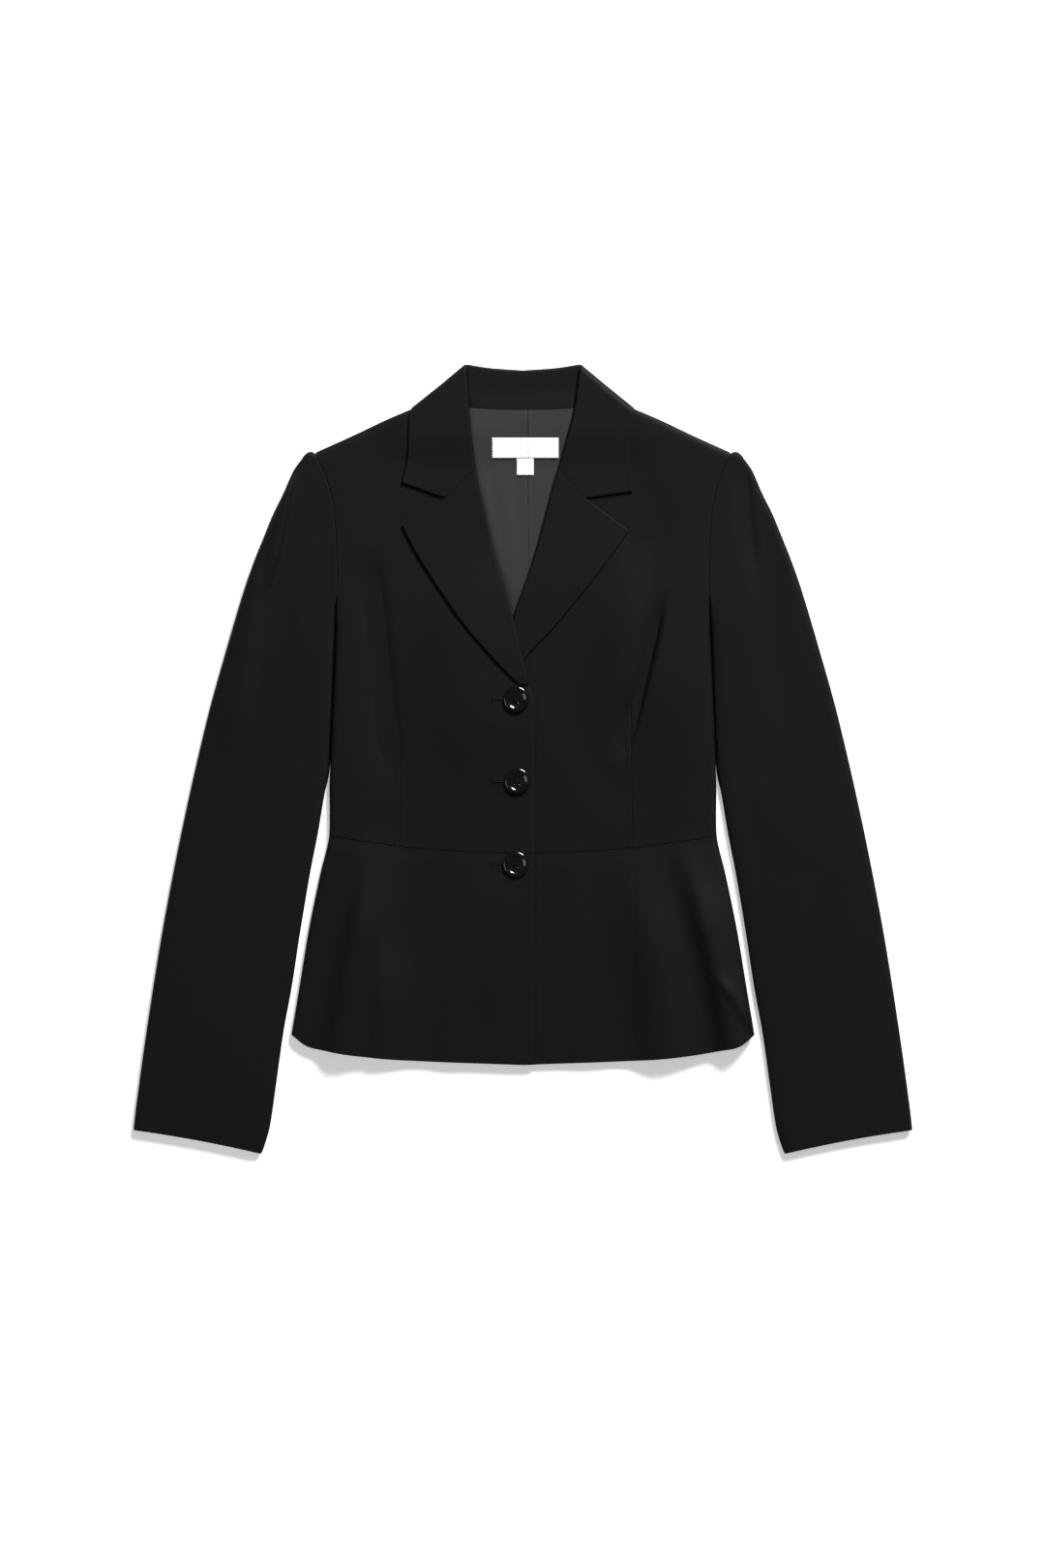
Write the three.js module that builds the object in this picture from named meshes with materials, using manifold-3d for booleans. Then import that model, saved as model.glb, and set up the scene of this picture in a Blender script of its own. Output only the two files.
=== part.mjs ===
// A peplum jacket, buttoned right over left and laid flat on its back.
// Millimetres, +Z up. X runs to the wearer's left, Y to the collar. The origin is on the surface
// that the jacket lies on, under the middle of its outline.
// Each cloth piece is one wall: a grid of points between four drawn edges, at a level worked out
// from the layers below it, given its thickness to both sides.

import * as THREE from 'three';
import { mergeVertices } from 'three/addons/utils/BufferGeometryUtils.js';
import Module from 'manifold-3d';

const wasm = await Module();
wasm.setup();

// Cloth and the layers from the floor up
const CLOTH = 1.5;
const DOUBLE = 1.8;
const LINING = 1.0;
const LABEL = 1.0;
const GAP = 0.3;
const LINING_OVER_BACK = 1.65;
const FRONT_OVER_BACK = 3.75;
const FRONT_SLACK = 0.3;
const SIDE_LOFT = 2.0;
const LAP_RISE = 1.9;
const LAPEL_TAIL_RISE = 2.6;
const DOUBLE_OVER_FRONT = 2.45;
const FALL_RAISE = 2.3;
const SLEEVE_FLATTER = 0.9;
const EDGE_LIFT = 1.4;

// Widths of the rounded turns at the garment's edges
const SIDE_TURN = 6;
const LAPEL_TURN = 1.2;
const COLLAR_TURN = 2.3;
const STAND_TURN = 1.3;

// Main lines of the cut
const FRONT_EDGE = 11;
const UNDER_EDGE = -23;
const WAIST_Y = -85;
const HEM_Y = -275;
const SIDE_X = 174;
const SIDE_WAIST_Y = -69;
const SIDE_HEM_Y = -248.4;
const SHOULDER_TIP_Y = 272.5;
const SHOULDER_INNER_Y = 333;
const UNDERARM_Y = 128;
const GORGE_Y = 262;
const COLLAR_TOP_Y = 355.5;
const LINING_ABOVE_HEM = 20;
const BREAK_Y = 67;

// Half outlines, x at each y
const BODY_EDGE = [
  { y: 272.5, x: 186.5 },
  { y: 257.5, x: 179.5 },
  { y: 245.5, x: 175 },
  { y: 227.5, x: 171 },
  { y: 200, x: 168.4 },
  { y: 143, x: 167.6 },
  { y: 90, x: 169.4 },
  { y: -20, x: 174 },
  { y: -50, x: 174 },
  { y: -69, x: 174.5 },
  { y: -83, x: 177.2 },
  { y: -100, x: 181.6 },
  { y: -153, x: 192.6 },
  { y: -205, x: 201.2 },
  { y: -247, x: 208.2 },
];
const SLEEVE_OUTER = [
  { y: 271, x: 198.5 },
  { y: 261, x: 205.8 },
  { y: 252, x: 210 },
  { y: 239, x: 215.6 },
  { y: 221, x: 224.6 },
  { y: 204, x: 231.6 },
  { y: 178, x: 242 },
  { y: 152, x: 251 },
  { y: 100, x: 266.5 },
  { y: 39, x: 283.5 },
  { y: -57, x: 305.5 },
  { y: -153, x: 324.2 },
  { y: -244, x: 338.7 },
  { y: -314, x: 348.4 },
  { y: -334, x: 350.6 },
];
const SLEEVE_INNER = [
  { y: 20, x: 173.8 },
  { y: -13, x: 175.8 },
  { y: -40, x: 180 },
  { y: -67, x: 184.5 },
  { y: -100, x: 191 },
  { y: -153, x: 200 },
  { y: -205, x: 208 },
  { y: -244, x: 215.2 },
  { y: -292, x: 222 },
  { y: -331, x: 227.8 },
  { y: -349, x: 233 },
  { y: -355, x: 235.6 },
];
// Line that each lapel and its side of the collar roll over at
const ROLL = {
  right: [
    { y: 356, x: -51 },
    { y: 316, x: -48.4 },
    { y: 284, x: -45.2 },
    { y: 252, x: -40.6 },
    { y: 220, x: -33.4 },
    { y: 188, x: -25.9 },
    { y: 156, x: -17 },
    { y: 129, x: -9.4 },
    { y: 91, x: -0.3 },
    { y: 61, x: 7.5 },
    { y: 52, x: FRONT_EDGE },
  ],
  left: [
    { y: 356, x: 51 },
    { y: 316, x: 46 },
    { y: 300, x: 42.2 },
    { y: 276, x: 35.6 },
    { y: 236, x: 24.2 },
    { y: 204, x: 16 },
    { y: 172, x: 6.6 },
    { y: 129, x: -8 },
    { y: 91, x: -14.6 },
    { y: 61, x: -19 },
    { y: 52, x: UNDER_EDGE },
  ],
};
// Outer edge of each lapel from the gorge peak to the break, and of each collar wing
const LAPEL_EDGE = {
  right: [
    { y: 210.4, x: -109 },
    { y: 186.2, x: -96.4 },
    { y: 154.4, x: -76.4 },
    { y: 119.2, x: -51.4 },
    { y: 87.7, x: -24 },
    { y: BREAK_Y, x: -3 },
  ],
  left: [
    { y: 206, x: 95.3 },
    { y: 189.4, x: 84 },
    { y: 158.3, x: 60.5 },
    { y: 120.5, x: 29.5 },
    { y: 91.8, x: 2.8 },
    { y: BREAK_Y, x: -12 },
  ],
};
const WING_EDGE = {
  right: [
    { y: 318.4, x: -99.4 },
    { y: 307, x: -102.3 },
    { y: 271.5, x: -103.9 },
    { y: 248.4, x: -108.8 },
  ],
  left: [
    { y: 318.4, x: 99.4 },
    { y: 307, x: 98.4 },
    { y: 272, x: 96.6 },
    { y: 240.8, x: 99 },
  ],
};
const NOTCH = { right: { x: -70.3, y: 235 }, left: { x: 56.7, y: 234.6 } };
const WING_BEND = { x: 75, y: 335.6 };

// Edges across the garment, y at each distance from the middle
const WAIST = [
  { x: 0, y: WAIST_Y },
  { x: 45, y: -83.5 },
  { x: 93, y: -80.5 },
  { x: 130, y: -76 },
  { x: 178, y: SIDE_WAIST_Y },
];
const HEM = [
  { x: 0, y: HEM_Y },
  { x: 107, y: -271 },
  { x: 150, y: -267 },
  { x: 180, y: -262 },
  { x: 195, y: -258.2 },
  { x: 208, y: SIDE_HEM_Y },
];
const SHOULDER = [
  { x: 46, y: 339.5 },
  { x: 64, y: 331 },
  { x: 99, y: 315.5 },
  { x: 125, y: 304.4 },
  { x: 152, y: 291.6 },
  { x: 187, y: 275.8 },
];
const BACK_NECK = [
  { x: 0, y: 314 },
  { x: 30, y: 314.8 },
  { x: 46, y: 316 },
  { x: 52, y: 316.5 },
];
const COLLAR_TOP = [
  { x: 0, y: 350 },
  { x: 30, y: 352.2 },
  { x: 51, y: COLLAR_TOP_Y },
];
const FALL_EDGE = [
  { x: 0, y: 301 },
  { x: 45, y: 302.5 },
  { x: 80, y: 305.5 },
  { x: 100, y: 318 },
];

// Soft folds: a line from the first point to the second, how far it bows to +x, its width to each
// side, its height, and the share of its length over which each end fades (0 runs on)
const FRONT_FOLDS = [
  { x1: -72, y1: 150, x2: -68, y2: 10, bow: 0, left: 32, right: 45, height: 2, start: 0.8, end: 0.8 },
  { x1: 102, y1: 165, x2: 102, y2: 25, bow: 0, left: 40, right: 48, height: 3.6, start: 0.8, end: 0.8 },
  { x1: -131, y1: 178, x2: -112, y2: -8, bow: -3, left: 16, right: 13, height: -1.5, start: 0.4, end: 0.5 },
  { x1: 128, y1: 150, x2: 97, y2: 2, bow: 1.5, left: 13, right: 8, height: -2.6, start: 0.4, end: 0.3 },
  { x1: -138, y1: -110, x2: -168, y2: -256, bow: 2, left: 18, right: 24, height: 6, start: 0.6, end: 0 },
  { x1: -119, y1: -190, x2: -126, y2: -274, bow: 0, left: 12, right: 22, height: 2, start: 0.8, end: 0 },
  { x1: 108, y1: -124, x2: 127, y2: -272, bow: 2, left: 24, right: 28, height: 5, start: 0.7, end: 0 },
  { x1: 148, y1: -110, x2: 196, y2: -256, bow: -1, left: 14, right: 20, height: 5.4, start: 0.5, end: 0 },
];
const BACK_FOLDS = [
  { x1: -52, y1: -100, x2: -66, y2: -274, bow: 0, left: 18, right: 14, height: 1.3, start: 0.6, end: 0 },
  { x1: 46, y1: -110, x2: 58, y2: -274, bow: 0, left: 14, right: 20, height: 1.1, start: 0.6, end: 0 },
];
const SLEEVE_FOLDS = {
  right: [
    { x1: -208, y1: 262, x2: -229, y2: 160, bow: 2, left: 10, right: 8, height: 1.8, start: 0.35, end: 0.5 },
    { x1: -238, y1: 184, x2: -264, y2: 10, bow: 2, left: 18, right: 12, height: 2.4, start: 0.5, end: 0.6 },
    { x1: -298, y1: -40, x2: -296, y2: -280, bow: 5, left: 24, right: 26, height: 0.9, start: 0.5, end: 0.5 },
  ],
  left: [
    { x1: 201, y1: 262, x2: 210, y2: 170, bow: -1, left: 13, right: 9, height: -1.1, start: 0.4, end: 0.6 },
    { x1: 218, y1: 240, x2: 234, y2: 50, bow: -2, left: 14, right: 14, height: -1.2, start: 0.6, end: 0.5 },
    { x1: 298, y1: -50, x2: 294, y2: -270, bow: -5, left: 26, right: 22, height: 0.9, start: 0.5, end: 0.5 },
  ],
};

const BUTTONS = [
  { name: 'button_top', x: -6, y: 54 },
  { name: 'button_middle', x: -5, y: -19.5 },
  { name: 'button_bottom', x: -6.3, y: -94.4 },
];
// Half section of a button, from its back to the dished face inside the rim
const BUTTON_PROFILE = [
  { r: 0, z: 0 },
  { r: 8.4, z: 0 },
  { r: 10.9, z: 0.9 },
  { r: 11.5, z: 2.3 },
  { r: 10.6, z: 3.7 },
  { r: 9.2, z: 3.9 },
  { r: 7.6, z: 2.8 },
  { r: 0, z: 2.4 },
];
const BUTTON_SIDES = 16;
const BUTTON_HOLE = { radius: 1.05, offset: 2.1, length: 12, sides: 6 };

const LABEL_BOX = { x1: -27.8, x2: 32, y1: 270.8, y2: 289 };
const TAB_BOX = { x1: -5.6, x2: 9.6, y1: 255.5, y2: 270.4 };

const COLOURS = { suiting: '#1c1c1d', lining: '#434346', label: '#eeeeec', horn: '#17130f' };

// Small tools
const mix = (a, b, t) => a + (b - a) * t;
const smooth = (t) => {
  const s = Math.min(1, Math.max(0, t));
  return s * s * (3 - 2 * s);
};

// A smooth curve through a table's rows: one column as a function of another
function graph(rows, from, to) {
  const at = rows.map((row) => row[from]);
  const value = rows.map((row) => row[to]);
  const last = rows.length - 1;
  const rising = at[last] > at[0] ? 1 : -1;
  const slope = at.map((_, i) => {
    const a = Math.max(0, i - 1);
    const b = Math.min(last, i + 1);
    return (value[b] - value[a]) / (at[b] - at[a]);
  });
  return (t) => {
    let i = 0;
    while (i < last - 1 && (t - at[i + 1]) * rising > 0) i += 1;
    const h = at[i + 1] - at[i];
    const s = Math.min(1, Math.max(0, (t - at[i]) / h));
    const ease = s * s * (3 - 2 * s);
    const leave = s * (1 - s) * (1 - s) * h * slope[i];
    const arrive = s * s * (s - 1) * h * slope[i + 1];
    return mix(value[i], value[i + 1], ease) + leave + arrive;
  };
}

const bodyEdgeX = graph(BODY_EDGE, 'y', 'x');
const sleeveOuterX = graph(SLEEVE_OUTER, 'y', 'x');
const sleeveLowerX = graph(SLEEVE_INNER, 'y', 'x');
const rollGraph = { right: graph(ROLL.right, 'y', 'x'), left: graph(ROLL.left, 'y', 'x') };
const waistGraph = graph(WAIST, 'x', 'y');
const hemGraph = graph(HEM, 'x', 'y');
const shoulderGraph = graph(SHOULDER, 'x', 'y');
const neckGraph = graph(BACK_NECK, 'x', 'y');
const collarTopGraph = graph(COLLAR_TOP, 'x', 'y');
const fallEdgeGraph = graph(FALL_EDGE, 'x', 'y');
const waistY = (x) => waistGraph(Math.abs(x));
const hemY = (x) => hemGraph(Math.abs(x));
const shoulderY = (x) => shoulderGraph(Math.abs(x));
const collarTopY = (x) => collarTopGraph(Math.abs(x));
const fallEdgeY = (x) => fallEdgeGraph(Math.abs(x));

// Side -1 is the wearer's right and side 1 the left
const sideOf = (sign) => (sign < 0 ? 'right' : 'left');
const rollX = (side, y) => rollGraph[sideOf(side)](y);

// Height of the soft folds in a table at a point
const foldHeight = (rows, x, y) =>
  rows.reduce((sum, fold) => {
    const dx = fold.x2 - fold.x1;
    const dy = fold.y2 - fold.y1;
    const length = Math.hypot(dx, dy);
    const along = ((x - fold.x1) * dx + (y - fold.y1) * dy) / length ** 2;
    const bow = fold.bow * (1 - (2 * along - 1) ** 2);
    const across = ((y - fold.y1) * dx - (x - fold.x1) * dy) / length - bow;
    const width = across < 0 ? fold.left : fold.right;
    const starts = fold.start ? smooth((along + fold.start / 2) / fold.start) : 1;
    const ends = fold.end ? smooth((1 + fold.end / 2 - along) / fold.end) : 1;
    return sum + fold.height * Math.exp(-((across / width) ** 2)) * starts * ends;
  }, 0);

// Levels of the middle of each layer
const fallRaise = (x, y) => FALL_RAISE * smooth((y - 258) / 40) * smooth((140 - Math.abs(x)) / 34);
const backLevel = (x, y) => CLOTH / 2 + fallRaise(x, y) + foldHeight(BACK_FOLDS, x, y);
const liningLevel = (x, y) => backLevel(x, y) + LINING_OVER_BACK;
const sideLoft = (x) => SIDE_LOFT * smooth((Math.abs(x) - 90) / 75);

// The lower end of the left lapel lies under the right front, around this line
const TAIL = { x1: -4, y1: 127, x2: -20, y2: 55, plateau: 17, slope: 42 };
function tailRise(x, y) {
  const dx = TAIL.x2 - TAIL.x1;
  const dy = TAIL.y2 - TAIL.y1;
  const along = ((x - TAIL.x1) * dx + (y - TAIL.y1) * dy) / (dx * dx + dy * dy);
  const t = Math.min(1, Math.max(0, along));
  const away = Math.hypot(x - TAIL.x1 - dx * t, y - TAIL.y1 - dy * t);
  return LAPEL_TAIL_RISE * smooth((TAIL.plateau + TAIL.slope - away) / TAIL.slope);
}
const lapRise = (x, y) =>
  LAP_RISE * smooth((x + 62) / 35) * smooth((190 - y) / 70) + tailRise(x, y);

const frontLevel = (side) => (x, y) =>
  backLevel(x, y) +
  FRONT_OVER_BACK +
  Math.max(-FRONT_SLACK, sideLoft(x) + foldHeight(FRONT_FOLDS, x, y)) +
  (side < 0 ? lapRise(x, y) : 0);
const doubleLevel = (side) => (x, y) => frontLevel(side)(x, y) + DOUBLE_OVER_FRONT;
const sleeveLevel = (side) => (x, y) =>
  CLOTH / 2 +
  FRONT_OVER_BACK +
  SIDE_LOFT -
  SLEEVE_FLATTER * smooth((120 - y) / 120) +
  foldHeight(SLEEVE_FOLDS[sideOf(side)], x, y);

// Where two layers meet in a rounded edge: half way up, each with half of the gap
const between = (lower, upper, share) => (x, y) =>
  (lower(x, y) + upper(x, y)) / 2 + (share * GAP) / 2;

// Distances across a grid: even cells, with closer ones in a turn at either end
const TURN_STEPS = { wide: [0, 0.1, 0.42], tight: [0, 0.3] };
const stepsOf = (turn) => (turn > 3 ? TURN_STEPS.wide : TURN_STEPS.tight);
function stations(length, cells, firstTurn, lastTurn) {
  const a = firstTurn / length;
  const b = lastTurn / length;
  const even = Array.from({ length: cells + 1 }, (_, i) => i / cells);
  const shares = Array.isArray(cells) ? cells : even;
  const head = firstTurn ? stepsOf(firstTurn).map((step) => step * a) : [];
  const tail = lastTurn ? stepsOf(lastTurn).map((step) => 1 - step * b).reverse() : [];
  return [...head, ...shares.map((share) => mix(a, 1 - b, share)), ...tail];
}

// How far a rounded edge has turned at a share of its width: a quarter of an ellipse
const turned = (share) => (share >= 1 ? 0 : 1 - Math.sqrt(1 - (1 - share) ** 2));

// A closed wall from a grid of middle points and the direction of its thickness at each
function wall(rows, thickness, upright) {
  const height = rows.length;
  const width = rows[0].length;
  const faces = [];
  const positions = [];
  const clampRow = (j) => Math.min(height - 1, Math.max(0, j));
  const clampColumn = (i) => Math.min(width - 1, Math.max(0, i));
  const normals = rows.map((row, j) =>
    row.map((_, i) => {
      const across = rows[j][clampColumn(i + 1)].clone().sub(rows[j][clampColumn(i - 1)]);
      const along = rows[clampRow(j + 1)][i].clone().sub(rows[clampRow(j - 1)][i]);
      const normal = across.cross(along).normalize();
      if (normal.z < 0) normal.negate();
      const flat = smooth((normal.z - 0.5) / 0.35);
      normal.lerp(new THREE.Vector3(0, 0, 1), flat);
      normal.z *= upright[j][i];
      return normal.normalize();
    }),
  );
  for (const share of [0.5, -0.5])
    rows.forEach((row, j) =>
      row.forEach((middle, i) => {
        const moved = middle.clone().addScaledVector(normals[j][i], share * thickness);
        positions.push(moved.x, moved.y, moved.z);
      }),
    );
  const upper = (i, j) => j * width + i;
  const lower = (i, j) => upper(i, j) + width * height;
  const quad = (a, b, c, d) => faces.push(a, b, c, a, c, d);
  for (let j = 0; j < height - 1; j += 1)
    for (let i = 0; i < width - 1; i += 1) {
      quad(upper(i, j), upper(i + 1, j), upper(i + 1, j + 1), upper(i, j + 1));
      quad(lower(i, j), lower(i, j + 1), lower(i + 1, j + 1), lower(i + 1, j));
    }
  for (let i = 0; i < width - 1; i += 1) {
    quad(lower(i, 0), lower(i + 1, 0), upper(i + 1, 0), upper(i, 0));
    const j = height - 1;
    quad(upper(i, j), upper(i + 1, j), lower(i + 1, j), lower(i, j));
  }
  for (let j = 0; j < height - 1; j += 1) {
    quad(upper(0, j), upper(0, j + 1), lower(0, j + 1), lower(0, j));
    const i = width - 1;
    quad(lower(i, j), lower(i, j + 1), upper(i, j + 1), upper(i, j));
  }
  const geometry = new THREE.BufferGeometry();
  geometry.setAttribute('position', new THREE.Float32BufferAttribute(positions, 3));
  geometry.setIndex(volumeOf(positions, faces) < 0 ? faces.reverse() : faces);
  return geometry;
}

function volumeOf(positions, faces) {
  const corner = (k) => new THREE.Vector3().fromArray(positions, faces[k] * 3);
  let sum = 0;
  for (let k = 0; k < faces.length; k += 3)
    sum += corner(k).dot(corner(k + 1).cross(corner(k + 2))) / 6;
  return sum;
}

// A cloth piece between four edges, each a function from 0 to 1: left and right run up, bottom and
// top run across. A turn rounds an edge over its width to another level, as far as amount says.
function sheet({ left, right, bottom, top, level, thickness, across, along, turns = {}, lift }) {
  const point = (u, v) => {
    const at = (axis) =>
      mix(bottom(u)[axis], top(u)[axis], v) +
      mix(left(v)[axis], right(v)[axis], u) -
      mix(mix(bottom(0)[axis], bottom(1)[axis], u), mix(top(0)[axis], top(1)[axis], u), v);
    return [at(0), at(1)];
  };
  const reach = (a, b) => Math.hypot(a[0] - b[0], a[1] - b[1]);
  const turnWidth = (side) => (turns[side] ? turns[side].width : 0);
  const amount = (side, t) => (turns[side].amount ? turns[side].amount(t) : 1);
  const middle = stations(reach(bottom(0.5), top(0.5)), along, turnWidth('bottom'), turnWidth('top'));
  const rows = [];
  const upright = [];
  middle.forEach((nominal, j) => {
    const wide = reach(left(nominal), right(nominal));
    const columns = stations(wide, across, turnWidth('left'), turnWidth('right'));
    rows.push([]);
    upright.push([]);
    columns.forEach((u, i) => {
      const tall = reach(bottom(u), top(u));
      const v = stations(tall, along, turnWidth('bottom'), turnWidth('top'))[j];
      const [x, y] = point(u, v);
      let z = level(x, y) + (lift ? lift(u, v) : 0);
      let stands = 1;
      const inside = { left: u * wide, right: (1 - u) * wide, bottom: v * tall, top: (1 - v) * tall };
      for (const side of Object.keys(turns)) {
        const t = side === 'left' || side === 'right' ? v : u;
        const share = turned(inside[side] / turns[side].width) * amount(side, t);
        z = mix(z, turns[side].to(x, y), share);
        if (inside[side] < 1e-6) stands = Math.min(stands, 1 - amount(side, t));
      }
      rows[j].push(new THREE.Vector3(x, y, z));
      upright[j].push(stands);
    });
  });
  return wall(rows, thickness, upright);
}

// An edge moved sideways by a distance, to the left of the way it runs
const shifted = (edge, distance) => (t) => {
  const a = edge(Math.max(0, t - 1e-3));
  const b = edge(Math.min(1, t + 1e-3));
  const length = Math.hypot(b[0] - a[0], b[1] - a[1]);
  const move = typeof distance === 'function' ? distance(t) : distance;
  const [x, y] = edge(t);
  return [x - ((b[1] - a[1]) / length) * move, y + ((b[0] - a[0]) / length) * move];
};

// An edge drawn straight through several points, spread evenly or at given shares
const polyline = (points, shares) => (t) => {
  const at = shares ?? points.map((_, i) => i / (points.length - 1));
  let i = 0;
  while (i < at.length - 2 && t > at[i + 1]) i += 1;
  const s = (t - at[i]) / (at[i + 1] - at[i]);
  return [mix(points[i][0], points[i + 1][0], s), mix(points[i][1], points[i + 1][1], s)];
};

// Joining and cutting closed meshes
function solidOf(geometry) {
  const bare = geometry.clone();
  bare.deleteAttribute('normal');
  bare.deleteAttribute('uv');
  const merged = mergeVertices(bare, 1e-3);
  const { array } = merged.getAttribute('position');
  const corners = merged.getIndex().array;
  const faces = [];
  for (let k = 0; k < corners.length; k += 3) {
    const [a, b, c] = corners.slice(k, k + 3);
    if (a !== b && b !== c && c !== a) faces.push(a, b, c);
  }
  const vertProperties = new Float32Array(array);
  const triVerts = new Uint32Array(faces);
  return new wasm.Manifold(new wasm.Mesh({ numProp: 3, vertProperties, triVerts }));
}

function geometryOf(solid) {
  const mesh = solid.getMesh();
  const geometry = new THREE.BufferGeometry();
  geometry.setAttribute('position', new THREE.Float32BufferAttribute(mesh.vertProperties, 3));
  geometry.setIndex([...mesh.triVerts]);
  return geometry;
}

// The join keeps its outer skin, without the tiny pockets left where walls cross
function joined(geometries) {
  const whole = geometries.map(solidOf).reduce((sum, next) => sum.add(next));
  const [skin] = whole.decompose().sort((a, b) => b.volume() - a.volume());
  return geometryOf(skin);
}

// How far a garment edge has changed from the armhole seam to the rounded side below it
const belowArm = (y) => smooth((UNDERARM_Y + 16 - y) / 32);
const sideInset = (y) => mix(GAP / 2, CLOTH / 2, belowArm(y));

// Front between its roll line or front edge and the armhole and side. It turns up into the lapel
// from the break to the gorge, and stands back from the collar above it.
const COLLAR_SETBACK = 3.4;
const LAPEL_START = { y: BREAK_Y - 4, over: 8 };
const LAPEL_END = { y: 244, over: 12 };
const FREE_EDGE_END = { y: 44, over: 16 };
const passed = (place, y) => smooth((y - place.y) / place.over);
const rollTurn = (y) => passed(LAPEL_START, y) * (1 - passed(LAPEL_END, y));
function frontInnerX(side, y) {
  const free = side < 0 ? FRONT_EDGE : UNDER_EDGE;
  const setback = COLLAR_SETBACK * passed(LAPEL_END, y) + (CLOTH / 2 + GAP) * rollTurn(y);
  return mix(free, rollX(side, y) + side * setback, passed(FREE_EDGE_END, y));
}

// Shares of a front's width and height, closer where it is rounder
const FRONT_COLUMNS = [0, 0.08, 0.16, 0.25, 0.35, 0.45, 0.55, 0.66, 0.77, 0.88, 1];
const FRONT_ROWS = [
  0, 0.1, 0.19, 0.26, 0.31, 0.36, 0.4, 0.45, 0.51, 0.56,
  0.61, 0.66, 0.72, 0.78, 0.83, 0.88, 0.92, 0.96, 1,
];
function frontBodice(side) {
  const tip = bodyEdgeX(SHOULDER_TIP_Y) - GAP / 2;
  const innerTop = frontInnerX(side, SHOULDER_INNER_Y);
  const innerLow = side < 0 ? FRONT_EDGE : UNDER_EDGE;
  const sideY = (v) => mix(waistY(SIDE_X) + GAP / 2, shoulderY(tip) - CLOTH / 2, v);
  const innerY = (v) => mix(waistY(innerLow) + GAP / 2, shoulderY(innerTop) - CLOTH / 2, v);
  const outer = (v) => [side * (bodyEdgeX(sideY(v)) - sideInset(sideY(v))), sideY(v)];
  const inner = (v) => [frontInnerX(side, innerY(v)), innerY(v)];
  const waist = (u) => {
    const x = mix(innerLow, side * (bodyEdgeX(SIDE_WAIST_Y) - CLOTH / 2), u);
    return [x, waistY(x) + GAP / 2];
  };
  const shoulder = (u) => {
    const x = mix(innerTop, side * tip, u);
    return [x, shoulderY(x) - CLOTH / 2];
  };
  const front = frontLevel(side);
  return sheet({
    left: inner,
    right: outer,
    bottom: waist,
    top: shoulder,
    level: front,
    thickness: CLOTH,
    across: FRONT_COLUMNS,
    along: FRONT_ROWS,
    turns: {
      left: {
        width: LAPEL_TURN,
        amount: (v) => rollTurn(innerY(v)),
        to: (x, y) => front(x, y) + DOUBLE_OVER_FRONT / 2 - GAP,
      },
      right: { width: SIDE_TURN, amount: (v) => belowArm(sideY(v)), to: between(backLevel, front, 1) },
      top: { width: SIDE_TURN, to: between(backLevel, front, 1) },
    },
  });
}

// Front skirt below the waist seam
function frontPeplum(side) {
  const innerX = side < 0 ? FRONT_EDGE : UNDER_EDGE;
  const sideY = (v) => mix(SIDE_HEM_Y, waistY(SIDE_X) - GAP / 2, v);
  const front = frontLevel(side);
  const across = (outerY, edgeY) => (u) => {
    const x = mix(innerX, side * (bodyEdgeX(outerY) - CLOTH / 2), u);
    return [x, edgeY(x)];
  };
  return sheet({
    left: (v) => [innerX, mix(hemY(innerX), waistY(innerX) - GAP / 2, v)],
    right: (v) => [side * (bodyEdgeX(sideY(v)) - CLOTH / 2), sideY(v)],
    bottom: across(SIDE_HEM_Y, hemY),
    top: across(SIDE_WAIST_Y, (x) => waistY(x) - GAP / 2),
    level: front,
    thickness: CLOTH,
    across: 12,
    along: 9,
    turns: { right: { width: SIDE_TURN, to: between(backLevel, front, 1) } },
  });
}

// Top of the back: a shallow neck curve between two sloping shoulders
const NECK_CORNER = 51.5;
const SHOULDER_CORNER = 56;

// Columns of the back, as shares of its width, closer at the neck corners
const BACK_COLUMNS_X = [24, NECK_CORNER, SHOULDER_CORNER, 80, 108, 136, 160];
const BACK_ROWS = [0, 0.15, 0.3, 0.45, 0.58, 0.69, 0.78, 0.85, 0.9, 0.94, 0.97, 1];
function backColumns(halfWidth) {
  const outwards = BACK_COLUMNS_X.map((x) => x / halfWidth);
  const shares = [-1, ...outwards.map((s) => -s).reverse(), 0, ...outwards, 1];
  return shares.map((share) => (share + 1) / 2);
}

function backTopY(x) {
  const away = Math.abs(x);
  const neck = neckGraph(away) - GAP / 2;
  const shoulder = shoulderY(away) - CLOTH / 2;
  const corner = (away - NECK_CORNER) / (SHOULDER_CORNER - NECK_CORNER);
  return mix(neck, shoulder, Math.min(1, Math.max(0, corner)));
}

function backBodice() {
  const tipY = shoulderY(bodyEdgeX(SHOULDER_TIP_Y)) - CLOTH / 2;
  const edgeY = (v) => mix(waistY(SIDE_X) + GAP / 2, tipY, v);
  const edge = (side) => (v) => [side * (bodyEdgeX(edgeY(v)) - sideInset(edgeY(v))), edgeY(v)];
  const tip = edge(1)(1)[0];
  const low = edge(1)(0)[0];
  const meet = between(backLevel, frontLevel(1), -1);
  const side = { width: SIDE_TURN, amount: (v) => belowArm(edgeY(v)), to: meet };
  return sheet({
    left: edge(-1),
    right: edge(1),
    bottom: (u) => [mix(-low, low, u), waistY(mix(-low, low, u)) + GAP / 2],
    top: (u) => [mix(-tip, tip, u), backTopY(mix(-tip, tip, u))],
    level: backLevel,
    thickness: CLOTH,
    across: backColumns(tip),
    along: BACK_ROWS,
    turns: {
      left: side,
      right: side,
      top: {
        width: SIDE_TURN,
        amount: (u) => smooth((Math.abs(mix(-tip, tip, u)) - NECK_CORNER) / SIDE_TURN),
        to: meet,
      },
    },
  });
}

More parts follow.
